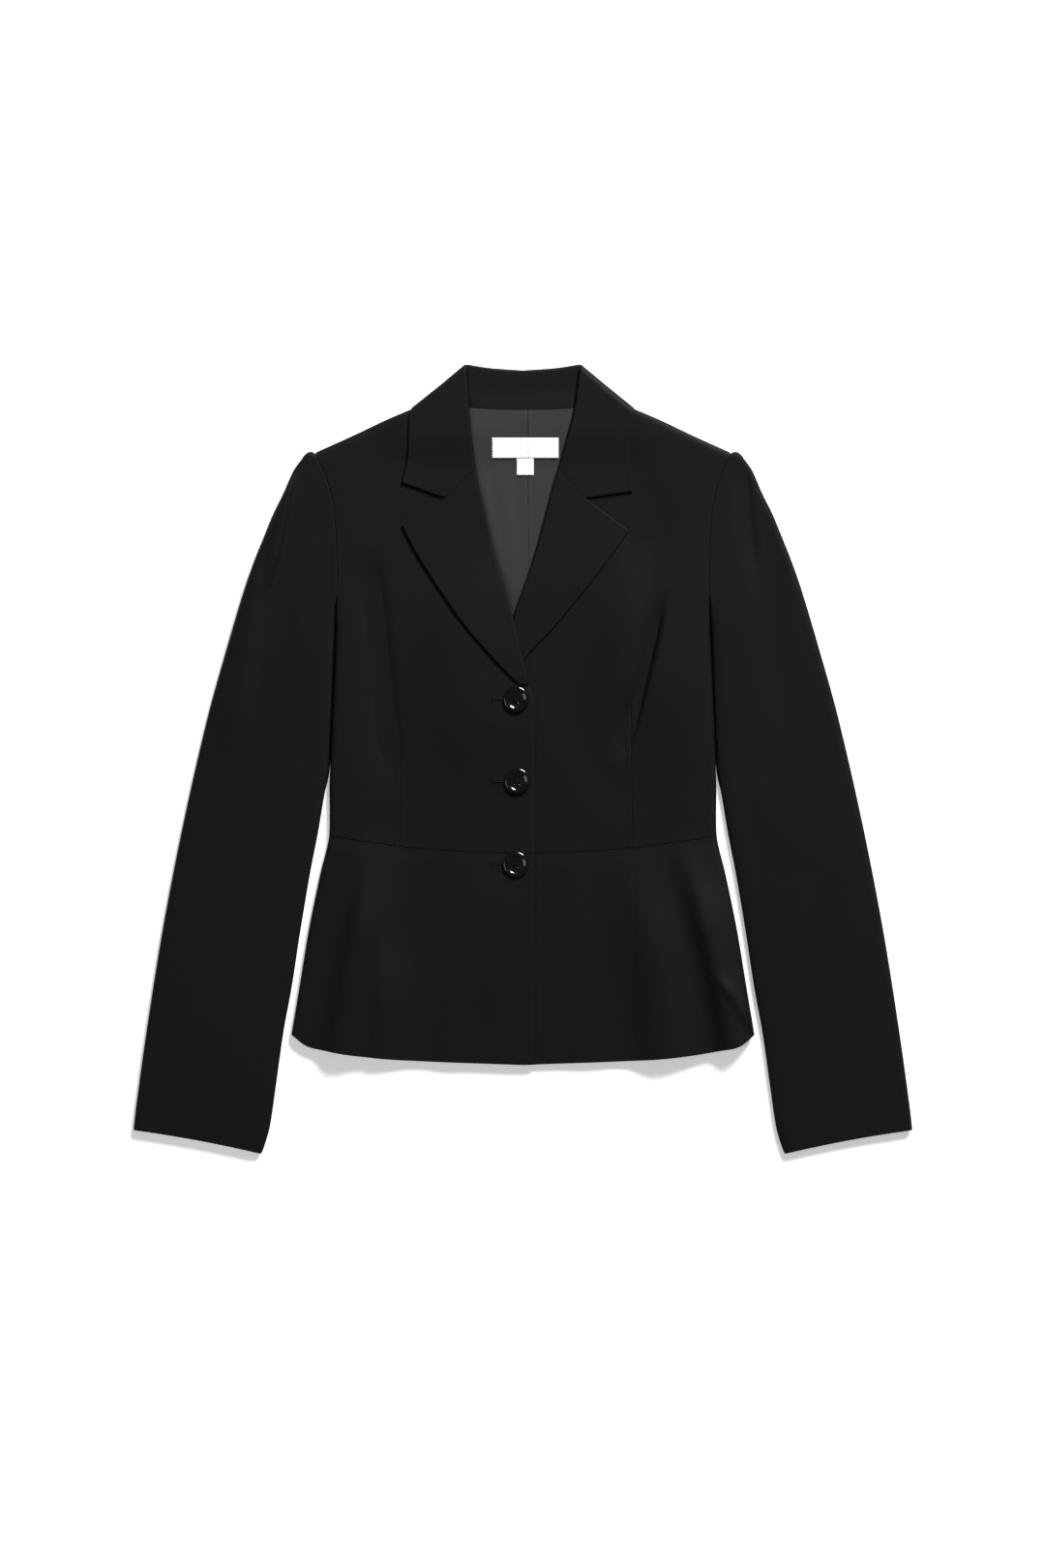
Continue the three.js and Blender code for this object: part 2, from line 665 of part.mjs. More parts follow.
const PEPLUM_COLUMNS = 14;
function backPeplum() {
  const edgeY = (v) => mix(SIDE_HEM_Y, waistY(SIDE_X) - GAP / 2, v);
  const edge = (side) => (v) => [side * (bodyEdgeX(edgeY(v)) - CLOTH / 2), edgeY(v)];
  const low = edge(1)(0)[0];
  const high = edge(1)(1)[0];
  const side = { width: SIDE_TURN, to: between(backLevel, frontLevel(1), -1) };
  return sheet({
    left: edge(-1),
    right: edge(1),
    bottom: (u) => [mix(-low, low, u), hemY(mix(-low, low, u))],
    top: (u) => [mix(-high, high, u), waistY(mix(-high, high, u)) - GAP / 2],
    level: backLevel,
    thickness: CLOTH,
    across: PEPLUM_COLUMNS,
    along: 7,
    turns: { left: side, right: side },
  });
}

// Back lining, from the neck seam to above the hem, clear of the rounded edges
const LINING_INSET = 9;
const BELOW_WAIST = [0, 0.07, 0.14, 0.21];
const WAIST_SHARE = 0.298;
function liningBack() {
  const top = (x) => {
    const away = Math.abs(x);
    const neck = neckGraph(away) - GAP / 2;
    return away < SHOULDER_CORNER ? neck : Math.min(neck, shoulderY(away) - LINING_INSET);
  };
  const high = bodyEdgeX(SHOULDER_TIP_Y - LINING_INSET) - LINING_INSET;
  const edgeY = (v) => mix(SIDE_HEM_Y + LINING_ABOVE_HEM, top(high), v);
  const edge = (side) => (v) => [side * (bodyEdgeX(edgeY(v)) - LINING_INSET), edgeY(v)];
  const low = edge(1)(0)[0];
  return sheet({
    left: edge(-1),
    right: edge(1),
    bottom: (u) => [mix(-low, low, u), hemY(mix(-low, low, u)) + LINING_ABOVE_HEM],
    top: (u) => [mix(-high, high, u), top(mix(-high, high, u))],
    level: liningLevel,
    thickness: LINING,
    across: PEPLUM_COLUMNS,
    along: [...BELOW_WAIST, ...BACK_ROWS.map((share) => mix(WAIST_SHARE, 1, share))],
  });
}

// Turned back lapel: two layers from the roll line to the outer edge
function lapel(side) {
  const edgeRows = LAPEL_EDGE[sideOf(side)];
  const edgeX = graph(edgeRows, 'y', 'x');
  const peak = edgeRows[0];
  const foot = edgeRows[edgeRows.length - 1];
  const rollY = (v) => mix(BREAK_Y, GORGE_Y - GAP / 2, v);
  const outerY = (v) => mix(foot.y, peak.y - GAP / 2, v);
  const inner = (v) => [rollX(side, rollY(v)) + (side * DOUBLE) / 2, rollY(v)];
  const outer = (v) => [edgeX(outerY(v)), outerY(v)];
  const front = frontLevel(side);
  return sheet({
    left: inner,
    right: outer,
    bottom: polyline([inner(0), outer(0)]),
    top: gorge(side, -GAP / 2),
    level: doubleLevel(side),
    thickness: DOUBLE,
    across: 6,
    along: 12,
    turns: {
      left: { width: LAPEL_TURN, to: (x, y) => front(x, y) + DOUBLE_OVER_FRONT / 2 + GAP },
    },
    lift: (u, v) => EDGE_LIFT * u * u * smooth((v - 0.2) / 0.3),
  });
}

// Gorge seam from the roll line through the notch, moved by half a gap; the lapel's top edge runs
// on to its peak and the collar's lower edge to its corner
const NOTCH_SHARE = 0.5;
function gorge(side, move, end) {
  const name = sideOf(side);
  const stop = end ?? LAPEL_EDGE[name][0];
  const start = [rollX(side, GORGE_Y) + (side * DOUBLE) / 2, GORGE_Y + move];
  const points = [start, [NOTCH[name].x, NOTCH[name].y + move], [stop.x, stop.y + move]];
  return polyline(points, [0, NOTCH_SHARE, 1]);
}

// One wing of the collar, from the gorge up over the shoulder
const STAND_LEVEL = 3.6;
const FALL_LEVEL = DOUBLE / 2;
const WING_CELLS = [0, 0.17, 0.34, 0.5, 0.67, 0.84, 1];
const INTO_STAND = { y: 317, over: 8, above: 0.6 };
const overTop = (upper, share) => (x, y) => mix(FALL_LEVEL, upper(x, y), 0.5) + share * GAP;
function collarWing(side) {
  const edgeRows = WING_EDGE[sideOf(side)];
  const edgeX = graph(edgeRows, 'y', 'x');
  const corner = edgeRows[edgeRows.length - 1];
  const shoulder = edgeRows[0];
  const innerY = (v) => mix(GORGE_Y + GAP / 2, COLLAR_TOP_Y - DOUBLE / 2, v);
  const outerY = (v) => mix(corner.y + GAP / 2, shoulder.y - DOUBLE / 2, v);
  const inner = (v) => [rollX(side, innerY(v)) + (side * DOUBLE) / 2, innerY(v)];
  const outer = (v) => [edgeX(outerY(v)), outerY(v)];
  const level = doubleLevel(side);
  const front = frontLevel(side);
  return sheet({
    left: inner,
    right: outer,
    bottom: gorge(side, GAP / 2, corner),
    top: polyline([inner(1), [side * WING_BEND.x, WING_BEND.y], outer(1)]),
    level,
    thickness: DOUBLE,
    across: WING_CELLS,
    along: 6,
    turns: {
      left: {
        width: COLLAR_TURN,
        to: (x, y) => mix(front(x, y), STAND_LEVEL + INTO_STAND.above, passed(INTO_STAND, y)),
      },
      top: { width: SIDE_TURN, to: overTop(level, -1) },
    },
    lift: (u, v) => EDGE_LIFT * u * u * (1 - smooth(v * 1.3)),
  });
}

// Fall of the collar behind the neck, lying under the back and just inside the wings
const FALL_INSET = 0.4;
function collarFall() {
  const wing = (side) => {
    const name = sideOf(side);
    const shoulder = WING_EDGE[name][0];
    const low = [shoulder.x - side * FALL_INSET, shoulder.y - DOUBLE / 2 - FALL_INSET];
    const highY = COLLAR_TOP_Y - DOUBLE / 2 - FALL_INSET;
    const high = [rollX(side, COLLAR_TOP_Y) + side * FALL_INSET, highY];
    return polyline([low, high]);
  };
  const lowX = (u) => mix(wing(-1)(0)[0], wing(1)(0)[0], u);
  const highX = (u) => mix(wing(-1)(1)[0], wing(1)(1)[0], u);
  const level = () => FALL_LEVEL;
  return sheet({
    left: wing(-1),
    right: wing(1),
    bottom: (u) => [lowX(u), fallEdgeY(lowX(u)) - DOUBLE / 2],
    top: (u) => [highX(u), collarTopY(highX(u)) - DOUBLE / 2],
    level,
    thickness: DOUBLE,
    across: 8,
    along: 3,
    turns: {
      left: { width: SIDE_TURN, to: overTop(doubleLevel(-1), 1) },
      right: { width: SIDE_TURN, to: overTop(doubleLevel(1), 1) },
      top: { width: STAND_TURN, to: () => mix(FALL_LEVEL, STAND_LEVEL, 0.5) + GAP / 2 },
    },
  });
}

// Stand of the collar inside the neck, seen between the two roll lines and reaching under them
const STAND_REACH = 1.4;
function collarStand() {
  const lowY = neckGraph(NECK_CORNER) + GAP / 2;
  const highY = COLLAR_TOP_Y - DOUBLE / 2;
  const edge = (side) => (v) => {
    const y = mix(lowY, highY, v);
    return [rollX(side, y) + side * STAND_REACH, y];
  };
  const x = (u, v) => mix(edge(-1)(v)[0], edge(1)(v)[0], u);
  return sheet({
    left: edge(-1),
    right: edge(1),
    bottom: (u) => [x(u, 0), neckGraph(Math.abs(x(u, 0))) + GAP / 2],
    top: (u) => [x(u, 1), collarTopY(x(u, 1)) - DOUBLE / 2],
    level: () => STAND_LEVEL,
    thickness: DOUBLE,
    across: 6,
    along: 3,
    turns: { top: { width: STAND_TURN, to: () => mix(FALL_LEVEL, STAND_LEVEL, 0.5) - GAP / 2 } },
  });
}

const collar = () => joined([collarWing(-1), collarWing(1), collarFall(), collarStand()]);

// Sleeve: an upper and an under piece between the armhole, the cap, the two edges and the cuff
const ARMHOLE_GAP = 1.2;
function sleeveInnerX(y) {
  const opening = smooth((UNDERARM_Y + 24 - y) / 18) + smooth((y - 258) / 12) / 2;
  const atArmhole = bodyEdgeX(y) + GAP / 2 + ARMHOLE_GAP * opening;
  return mix(atArmhole, sleeveLowerX(y), smooth((20 - y) / 30));
}
const CAP = { y: 271.5, innerY: 273.6, bulge: 3.4, turn: 4 };
const CUFF = { innerY: -354.8, outerY: -333.6, hook: 6 };
const SLEEVE_ROWS = [
  0, 0.09, 0.18, 0.27, 0.36, 0.45, 0.53, 0.6, 0.67,
  0.73, 0.78, 0.83, 0.87, 0.905, 0.94, 0.97, 1,
];
function sleeve(side, upper) {
  const innerY = (v) => mix(CUFF.innerY, CAP.innerY, v);
  const outerY = (v) => mix(CUFF.outerY, CAP.y, v);
  const inner = (v) => {
    const y = innerY(v);
    return [side * (sleeveInnerX(y) + (CLOTH / 2) * belowArm(y)), y];
  };
  const outerEdge = (v) => [side * sleeveOuterX(outerY(v)), outerY(v)];
  const outer = shifted(outerEdge, (side * CLOTH) / 2);
  const cuff = (u) => {
    const [x1, y1] = inner(0);
    const [x2, y2] = outer(0);
    return [mix(x1, x2, u), mix(y1, y2, u) + CUFF.hook * u * (1 - u)];
  };
  const cap = (u) => {
    const [x1, y1] = inner(1);
    const [x2, y2] = outer(1);
    return [mix(x1, x2, u), mix(y1, y2, u) + CAP.bulge * Math.sin(Math.PI * u)];
  };
  const low = () => CLOTH / 2;
  const high = sleeveLevel(side);
  const to = between(low, high, upper ? 1 : -1);
  return sheet({
    left: inner,
    right: outer,
    bottom: cuff,
    top: cap,
    level: upper ? high : low,
    thickness: CLOTH,
    across: upper ? 6 : 3,
    along: SLEEVE_ROWS,
    turns: {
      left: { width: SIDE_TURN, amount: (v) => belowArm(innerY(v)), to },
      right: { width: SIDE_TURN, to },
      top: { width: CAP.turn, to },
    },
  });
}

// A flat woven piece laid on the lining
function patch({ x1, x2, y1, y2 }, across, along) {
  return sheet({
    left: polyline([[x1, y1], [x1, y2]]),
    right: polyline([[x2, y1], [x2, y2]]),
    bottom: polyline([[x1, y1], [x2, y1]]),
    top: polyline([[x1, y2], [x2, y2]]),
    level: (x, y) => liningLevel(x, y) + (LINING + LABEL) / 2 + GAP,
    thickness: LABEL,
    across,
    along,
  });
}

// Button with a rim and four holes, seated just over the highest cloth under it
const SEAT_POINTS = 24;
function button({ x, y }) {
  const profile = BUTTON_PROFILE.map((row) => new THREE.Vector2(row.r, row.z));
  const body = new THREE.LatheGeometry(profile, BUTTON_SIDES).rotateX(Math.PI / 2);
  const { radius, offset, length, sides } = BUTTON_HOLE;
  const bore = (sx, sy) =>
    new THREE.CylinderGeometry(radius, radius, length, sides)
      .rotateX(Math.PI / 2)
      .translate(sx * offset, sy * offset, 0);
  const bores = [bore(1, 1), bore(1, -1), bore(-1, 1), bore(-1, -1)];
  const pierced = bores.reduce((solid, next) => solid.subtract(solidOf(next)), solidOf(body));
  const rim = Math.max(...BUTTON_PROFILE.map((row) => row.r));
  const around = Array.from({ length: SEAT_POINTS }, (_, i) => (i / SEAT_POINTS) * 2 * Math.PI);
  const under = around.map((a) => frontLevel(-1)(x + rim * Math.cos(a), y + rim * Math.sin(a)));
  const seat = Math.max(frontLevel(-1)(x, y), ...under) + CLOTH / 2 + GAP;
  return geometryOf(pierced).translate(x, y, seat);
}

const suiting = () =>
  new THREE.MeshStandardMaterial({ color: COLOURS.suiting, roughness: 0.92, metalness: 0 });
const lining = () =>
  new THREE.MeshStandardMaterial({ color: COLOURS.lining, roughness: 0.55, metalness: 0 });
const label = () =>
  new THREE.MeshStandardMaterial({ color: COLOURS.label, roughness: 0.8, metalness: 0 });
const horn = () =>
  new THREE.MeshStandardMaterial({ color: COLOURS.horn, roughness: 0.25, metalness: 0 });

const PIECES = [
  { name: 'back_bodice', shape: backBodice, material: suiting },
  { name: 'back_peplum', shape: backPeplum, material: suiting },
  { name: 'lining_back', shape: liningBack, material: lining },
  { name: 'front_bodice_right', shape: () => frontBodice(-1), material: suiting },
  { name: 'front_bodice_left', shape: () => frontBodice(1), material: suiting },
  { name: 'front_peplum_right', shape: () => frontPeplum(-1), material: suiting },
  { name: 'front_peplum_left', shape: () => frontPeplum(1), material: suiting },
  { name: 'lapel_right', shape: () => lapel(-1), material: suiting },
  { name: 'lapel_left', shape: () => lapel(1), material: suiting },
  { name: 'collar', shape: collar, material: suiting },
  { name: 'sleeve_right_upper', shape: () => sleeve(-1, true), material: suiting },
  { name: 'sleeve_right_under', shape: () => sleeve(-1, false), material: suiting },
  { name: 'sleeve_left_upper', shape: () => sleeve(1, true), material: suiting },
  { name: 'sleeve_left_under', shape: () => sleeve(1, false), material: suiting },
  { name: 'label', shape: () => patch(LABEL_BOX, 4, 4), material: label },
  { name: 'size_tab', shape: () => patch(TAB_BOX, 1, 2), material: label },
  ...BUTTONS.map((row) => ({ name: row.name, shape: () => button(row), material: horn })),
];

const group = new THREE.Group();
for (const { name, shape, material } of PIECES) {
  const mesh = new THREE.Mesh(shape(), material());
  mesh.name = name;
  group.add(mesh);
}

// Centre the outline over the origin and set the lowest point on the surface
const box = new THREE.Box3().setFromObject(group);
const centre = box.getCenter(new THREE.Vector3());
group.position.set(-centre.x, -centre.y, -box.min.z);
group.updateMatrixWorld(true);

export default group;
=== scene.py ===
# %% [markdown]
# # A peplum jacket, laid flat
#
# A woman's tailored jacket lies on its back, buttoned, and the camera looks straight down on it.
# Tailored cloth is cut in pieces, sewn and pressed, so each piece here is one thin wall: a drawn
# outline, a level that stacks it on the layers below, and a few soft folds.
# The plain CAD model gives the frame: every finished piece stands in for one of its nodes.

# %% Frame
import math
from collections import namedtuple

import bpy
import numpy as np
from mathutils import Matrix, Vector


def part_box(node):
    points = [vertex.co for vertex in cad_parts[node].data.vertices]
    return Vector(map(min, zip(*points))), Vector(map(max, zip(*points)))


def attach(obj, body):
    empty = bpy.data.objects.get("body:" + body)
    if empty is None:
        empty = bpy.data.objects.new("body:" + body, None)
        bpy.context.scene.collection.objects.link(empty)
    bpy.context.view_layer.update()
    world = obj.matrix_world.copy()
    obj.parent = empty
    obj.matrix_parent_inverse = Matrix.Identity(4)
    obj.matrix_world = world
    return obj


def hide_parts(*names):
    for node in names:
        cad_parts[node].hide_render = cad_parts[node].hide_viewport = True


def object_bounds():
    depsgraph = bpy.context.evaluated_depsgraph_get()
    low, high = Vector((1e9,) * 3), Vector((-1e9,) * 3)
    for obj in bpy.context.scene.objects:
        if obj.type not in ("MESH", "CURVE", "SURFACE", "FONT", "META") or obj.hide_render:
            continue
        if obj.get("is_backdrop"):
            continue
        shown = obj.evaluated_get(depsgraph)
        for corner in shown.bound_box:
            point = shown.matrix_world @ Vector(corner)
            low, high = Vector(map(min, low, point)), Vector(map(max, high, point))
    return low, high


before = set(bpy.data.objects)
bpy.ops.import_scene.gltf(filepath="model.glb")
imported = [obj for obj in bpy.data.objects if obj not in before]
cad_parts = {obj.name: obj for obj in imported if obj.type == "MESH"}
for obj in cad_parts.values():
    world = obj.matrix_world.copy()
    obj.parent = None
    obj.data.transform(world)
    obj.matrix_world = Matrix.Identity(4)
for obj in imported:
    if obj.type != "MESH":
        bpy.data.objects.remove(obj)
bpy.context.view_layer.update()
print("frame", sorted(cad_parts))

# %% [markdown]
# ## Sizes
#
# The sizes are real ones in millimetres, as a cutter would note them: the thickness of cloth, the
# height of each layer over the table, and the lines of the cut. The drawing has its own zero, and
# one shift at the end moves it to the middle of the jacket.

# %% Thicknesses and levels
MM = 0.001
CENTRE_Y = 0.2628
CLOTH = 1.5
DOUBLE = 1.8
LINING = 1.0
LABEL = 1.0
GAP = 0.3
LINING_OVER_BACK = 1.65
NECK_RISE = 1.6
FRONT_OVER_BACK = 3.75
FRONT_SLACK = 0.3
SIDE_LOFT = 2.0
LAP_RISE = 1.9
LAPEL_TAIL_RISE = 2.6
DOUBLE_OVER_FRONT = 2.05
FALL_RAISE = 2.3
EDGE_LIFT = 0.3
SIDE_TURN = 6
LAPEL_TURN = 1.2
COLLAR_TURN = 1.5
STAND_TURN = 1.3

# %% Lines of the cut
FRONT_EDGE = 11
UNDER_EDGE = -23
WAIST_Y = -85
HEM_Y = -275
SIDE_X = 174
SIDE_WAIST_Y = -69
SIDE_HEM_Y = -248.4
SHOULDER_TIP_Y = 272.5
UNDERARM_Y = 128
GORGE_Y = 262
COLLAR_TOP_Y = 355.5
LINING_ABOVE_HEM = 20
BREAK_Y = 67
SIDES = {-1: "right", 1: "left"}

# %% [markdown]
# ## Small tools
#
# Three blends are enough to draw every line of the jacket: a straight one, an eased one, and a
# smooth curve through the rows of a short table.

# %% Blends
def mix(a, b, t):
    """The straight blend from a to b."""
    return a + (b - a) * t


def smooth(t):
    """Eases from 0 to 1 as t goes from 0 to 1: three t squared less two t cubed."""
    s = np.clip(t, 0, 1)
    return s * s * (3 - 2 * s)


def ease(value, start, end):
    """Eases from 0 to 1 as a value goes from start to end, whichever of them is larger."""
    return smooth((value - start) / (end - start))


def graph(rows):
    """A curve through rows of (place, value): cubic stretches with the slope between the neighbours."""
    at, value = np.array(sorted(rows), float).T
    last = len(at) - 1
    before = np.maximum(np.arange(last + 1) - 1, 0)
    after = np.minimum(np.arange(last + 1) + 1, last)
    slope = (value[after] - value[before]) / (at[after] - at[before])

    def curve(place):
        i = np.clip(np.searchsorted(at, place) - 1, 0, last - 1)
        h = at[i + 1] - at[i]
        s = np.clip((place - at[i]) / h, 0, 1)
        leave = s * (1 - s) ** 2 * h * slope[i]
        arrive = s * s * (s - 1) * h * slope[i + 1]
        return mix(value[i], value[i + 1], smooth(s)) + leave + arrive

    return curve


def even_graph(rows):
    """The same curve for a line that is alike on both sides of the middle."""
    curve = graph(rows)
    return lambda x: curve(np.abs(x))


# %% [markdown]
# ## The outline
#
# Half outlines are enough, since the cut is the same on both sides. Each table has a row for each
# point where the outline changes its course, as a pattern cutter marks it.

# %% Outlines down the garment, rows of (y, x)
body_edge_x = graph([
    (272.5, 186.5), (257.5, 179.5), (245.5, 175), (227.5, 171), (200, 168.4), (143, 167.6),
    (90, 169.4), (-20, 174), (-50, 174), (-69, 174.5), (-83, 177.2), (-100, 181.6), (-153, 192.6),
    (-205, 201.2), (-247, 208.2),
])
sleeve_outer_x = graph([
    (271, 198.5), (261, 205.8), (252, 210), (239, 215.6), (221, 224.6), (204, 231.6), (178, 242),
    (152, 251), (100, 266.5), (39, 283.5), (-57, 305.5), (-153, 324.2), (-244, 338.7), (-314, 348.4),
    (-334, 350.6),
])
sleeve_lower_x = graph([
    (20, 173.8), (-13, 175.8), (-40, 180), (-67, 184.5), (-100, 191), (-153, 200), (-205, 208),
    (-244, 215.2), (-292, 222), (-331, 227.8), (-349, 233), (-355, 235.6),
])
ROLL_X = {
    -1: graph([
        (356, -51), (316, -48.4), (284, -45.2), (252, -40.6), (220, -33.4), (188, -25.9), (156, -17),
        (129, -9.4), (91, -0.3), (61, 7.5), (52, 11),
    ]),
    1: graph([
        (356, 51), (316, 46), (300, 42.2), (276, 35.6), (236, 24.2), (204, 16), (172, 6.6), (129, -8),
        (91, -14.6), (61, -19), (52, -23),
    ]),
}
LAPEL_EDGE = {
    -1: [(210.4, -109), (186.2, -96.4), (154.4, -76.4), (119.2, -51.4), (87.7, -24), (BREAK_Y, -3)],
    1: [(206, 95.3), (189.4, 84), (158.3, 60.5), (120.5, 29.5), (91.8, 2.8), (BREAK_Y, -12)],
}
WING_EDGE = {
    -1: [(316, -100), (307, -102.3), (271.5, -103.9), (248.4, -108.8)],
    1: [(316, 100), (307, 98.4), (272, 96.6), (240.8, 99)],
}
NOTCH = {-1: (-70.3, 235), 1: (56.7, 234.6)}

# %% Outlines across the garment, rows of (x, y)
waist_y = even_graph([(0, WAIST_Y), (45, -83.5), (93, -80.5), (130, -76), (178, SIDE_WAIST_Y)])
hem_y = even_graph([
    (0, HEM_Y), (107, -271), (150, -267), (180, -262), (195, -258.2), (208, SIDE_HEM_Y),
])
shoulder_y = even_graph([
    (46, 339.5), (64, 331), (99, 315.5), (125, 304.4), (152, 291.6), (187, 275.8),
])
neck_y = even_graph([(0, 314), (30, 314.8), (46, 316), (52, 316.5)])
collar_top_y = even_graph([(0, 350), (30, 352.2), (51, COLLAR_TOP_Y)])
fall_edge_y = even_graph([(0, 301), (45, 302.5), (80, 305.5), (100, 316)])


def roll_x(side, y):
    """The line that a lapel and the collar roll over at."""
    return ROLL_X[side](y)


# %% [markdown]
# ## Folds
#
# A jacket pressed and laid out has few folds: the fullness over the bust between the darts, the
# flare of the peplum, and a pull in each sleeve head. Each one is a soft ridge or trough along a
# drawn line, with its own width on each side, so no two are alike. Sharp sewn lines, such as the
# darts, are the same shape a millimetre wide.

# %% The fold tables
Fold = namedtuple("Fold", "x1 y1 x2 y2 bow left right height start end")

FRONT_FOLDS = [
    Fold(-72, 150, -68, 10, 0, 46, 45, 2.6, 0.8, 0.8),
    Fold(102, 165, 102, 25, 0, 40, 48, 5.2, 0.8, 0.8),
    Fold(-133.5, 168, -115, -2, 0, 20, 7, -3, 0.35, 0.4),
    Fold(123.5, 132, 94.5, 14, 1.5, 12, 3.6, -6.2, 0.4, 0.35),
    Fold(112, 240, 123, 126, 0, 22, 18, -1.5, 0.6, 0.6),
    Fold(-140, -110, -164.5, -256, 0, 13, 24, 8.6, 0.7, 0),
    Fold(-124, -185, -130, -270, 0, 8, 28, 4.2, 0.9, 0),
    Fold(108, -124, 127, -272, 2, 22, 28, 7.6, 0.7, 0),
    Fold(152.5, -110, 188, -256, 2, 11, 22, 9.2, 0.65, 0),
    Fold(177, -200, 205, -241, 2, 4, 7, 2.4, 0.5, 0.3),
    Fold(-32, -110, -26, -220, 0, 22, 36, 1.6, 0.7, 0.7),
]
BACK_FOLDS = [
    Fold(-52, -100, -66, -274, 0, 18, 14, 1.3, 0.6, 0),
    Fold(46, -110, 58, -274, 0, 14, 20, 1.1, 0.6, 0),
]
SLEEVE_FOLDS = {
    -1: [
        Fold(-208, 262, -229, 160, 2, 9, 3.6, 3.8, 0.35, 0.5),
        Fold(-238, 184, -264, 10, 2, 18, 9, 4.2, 0.5, 0.6),
        Fold(-298, -40, -296, -280, 5, 24, 26, 0.9, 0.5, 0.5),
    ],
    1: [
        Fold(201, 262, 210, 170, -1, 12, 4, -1.3, 0.4, 0.6),
        Fold(218, 240, 234, 50, -2, 14, 12, -1.4, 0.6, 0.5),
        Fold(298, -50, 294, -270, -5, 26, 22, 0.9, 0.5, 0.5),
    ],
}
DARTS = [
    Fold(-110, 30, -111.4, -76, 0, 0.8, 0.8, -0.5, 0.4, 0),
    Fold(-110, 30, -111.4, -76, 0, 5, 5, 0.2, 0.4, 0),
    Fold(96.8, 60, 98.4, -80, 0, 0.8, 0.8, -0.55, 0.3, 0),
    Fold(96.8, 60, 98.4, -80, 0, 5, 5, 0.2, 0.3, 0),
]
FRONT_CREASES = [
    Fold(-70, 130, -58, 0, 4, 22, 18, 0.5, 0.5, 0.5),
    Fold(9.6, -88, 9.8, -275, 0, 0.7, 0.7, -0.5, 0.02, 0),
    Fold(30, 20, 66, -60, -4, 14, 18, 0.5, 0.6, 0.6),
    Fold(-120, 270, -100, 215, 2, 12, 9, 0.4, 0.6, 0.6),
    Fold(126, 262, 108, 200, -2, 9, 12, 0.4, 0.6, 0.6),
    Fold(-158, 150, -140, 60, 3, 6, 10, 0.4, 0.5, 0.6),
    Fold(158, 145, 143, 50, -3, 10, 6, 0.4, 0.5, 0.6),
]
SLEEVE_CREASES = {
    -1: [
        Fold(-216, 250, -228, 190, 2, 4, 2.5, 0.7, 0.5, 0.5),
        Fold(-190, 200, -200, 110, -3, 9, 12, 0.4, 0.5, 0.6),
        Fold(-206, -10, -246, -70, 3, 14, 18, 0.5, 0.5, 0.6),
        Fold(-250, -120, -262, -300, -4, 14, 18, 0.4, 0.5, 0.5),
    ],
    1: [
        Fold(190, 200, 198, 100, 3, 12, 9, 0.4, 0.5, 0.6),
        Fold(210, -20, 252, -84, -3, 18, 14, 0.5, 0.5, 0.6),
        Fold(252, -130, 266, -310, 4, 18, 14, 0.4, 0.5, 0.5),
    ],
}
LINING_FOLDS = [
    Fold(4, 312, 5, 100, 0, 0.6, 0.6, -0.8, 0.02, 0),
    Fold(4, 312, 5, 100, 0, 9, 3, 0.4, 0.02, 0),
    Fold(-22, 262, -9, 150, 3, 5, 8, 0.7, 0.6, 0.5),
    Fold(22, 258, 8, 160, -2, 8, 5, 0.7, 0.6, 0.5),
]


def fold_height(rows, x, y):
    """The sum of the folds: a bell curve across each line, eased in at its start, out at its end."""
    total = np.zeros(np.broadcast(x, y).shape)
    for fold in rows:
        dx = fold.x2 - fold.x1
        dy = fold.y2 - fold.y1
        length = math.hypot(dx, dy)
        along = ((x - fold.x1) * dx + (y - fold.y1) * dy) / length**2
        bow = fold.bow * (1 - (2 * along - 1) ** 2)
        across = ((y - fold.y1) * dx - (x - fold.x1) * dy) / length - bow
        width = np.where(across < 0, fold.left, fold.right)
        starts = smooth((along + fold.start / 2) / fold.start) if fold.start else 1
        ends = smooth((1 + fold.end / 2 - along) / fold.end) if fold.end else 1
        total = total + fold.height * np.exp(-((across / width) ** 2)) * starts * ends
    return total


print("folds", len(FRONT_FOLDS + FRONT_CREASES + DARTS), "on the fronts")

# %% [markdown]
# ## Levels
#
# The layers lie on each other, so each level is the one below it and a step: back, lining, front,
# then the doubled lapel and collar. The right front laps over the left, and the foot of the left
# lapel is caught between them, which raises the right front over it.

# %% The level of the middle of each layer
Tail = namedtuple("Tail", "x1 y1 x2 y2 plateau slope")
TAIL = Tail(-4, 127, -20, 55, 17, 75)
CUFF_DROP = 0.9


def fall_raise(x, y):
    """The collar's fall lies under the back and lifts the neck and shoulders."""
    return FALL_RAISE * ease(y, 258, 298) * ease(np.abs(x), 140, 106)


def back_level(x, y):
    """Half the cloth over the table, with the collar's lift and the folds of the back."""
    return CLOTH / 2 + fall_raise(x, y) + fold_height(BACK_FOLDS, x, y)


def lining_level(x, y):
    """The lining over the back, a little raised and creased where the neck opening shows it."""
    shown = ease(x - roll_x(-1, y), -4, 4) * ease(x - roll_x(1, y), 4, -4)
    rise = NECK_RISE + fold_height(LINING_FOLDS, x, y)
    return back_level(x, y) + LINING_OVER_BACK + shown * rise


def side_loft(x):
    """The body is a little rounder towards its sides."""
    return SIDE_LOFT * ease(np.abs(x), 90, 165)


def tail_rise(x, y):
    """A low mound round the line where the left lapel's foot lies underneath."""
    dx, dy = TAIL.x2 - TAIL.x1, TAIL.y2 - TAIL.y1
    t = np.clip(((x - TAIL.x1) * dx + (y - TAIL.y1) * dy) / (dx * dx + dy * dy), 0, 1)
    away = np.hypot(x - TAIL.x1 - dx * t, y - TAIL.y1 - dy * t)
    return LAPEL_TAIL_RISE * ease(away, TAIL.plateau + TAIL.slope, TAIL.plateau)


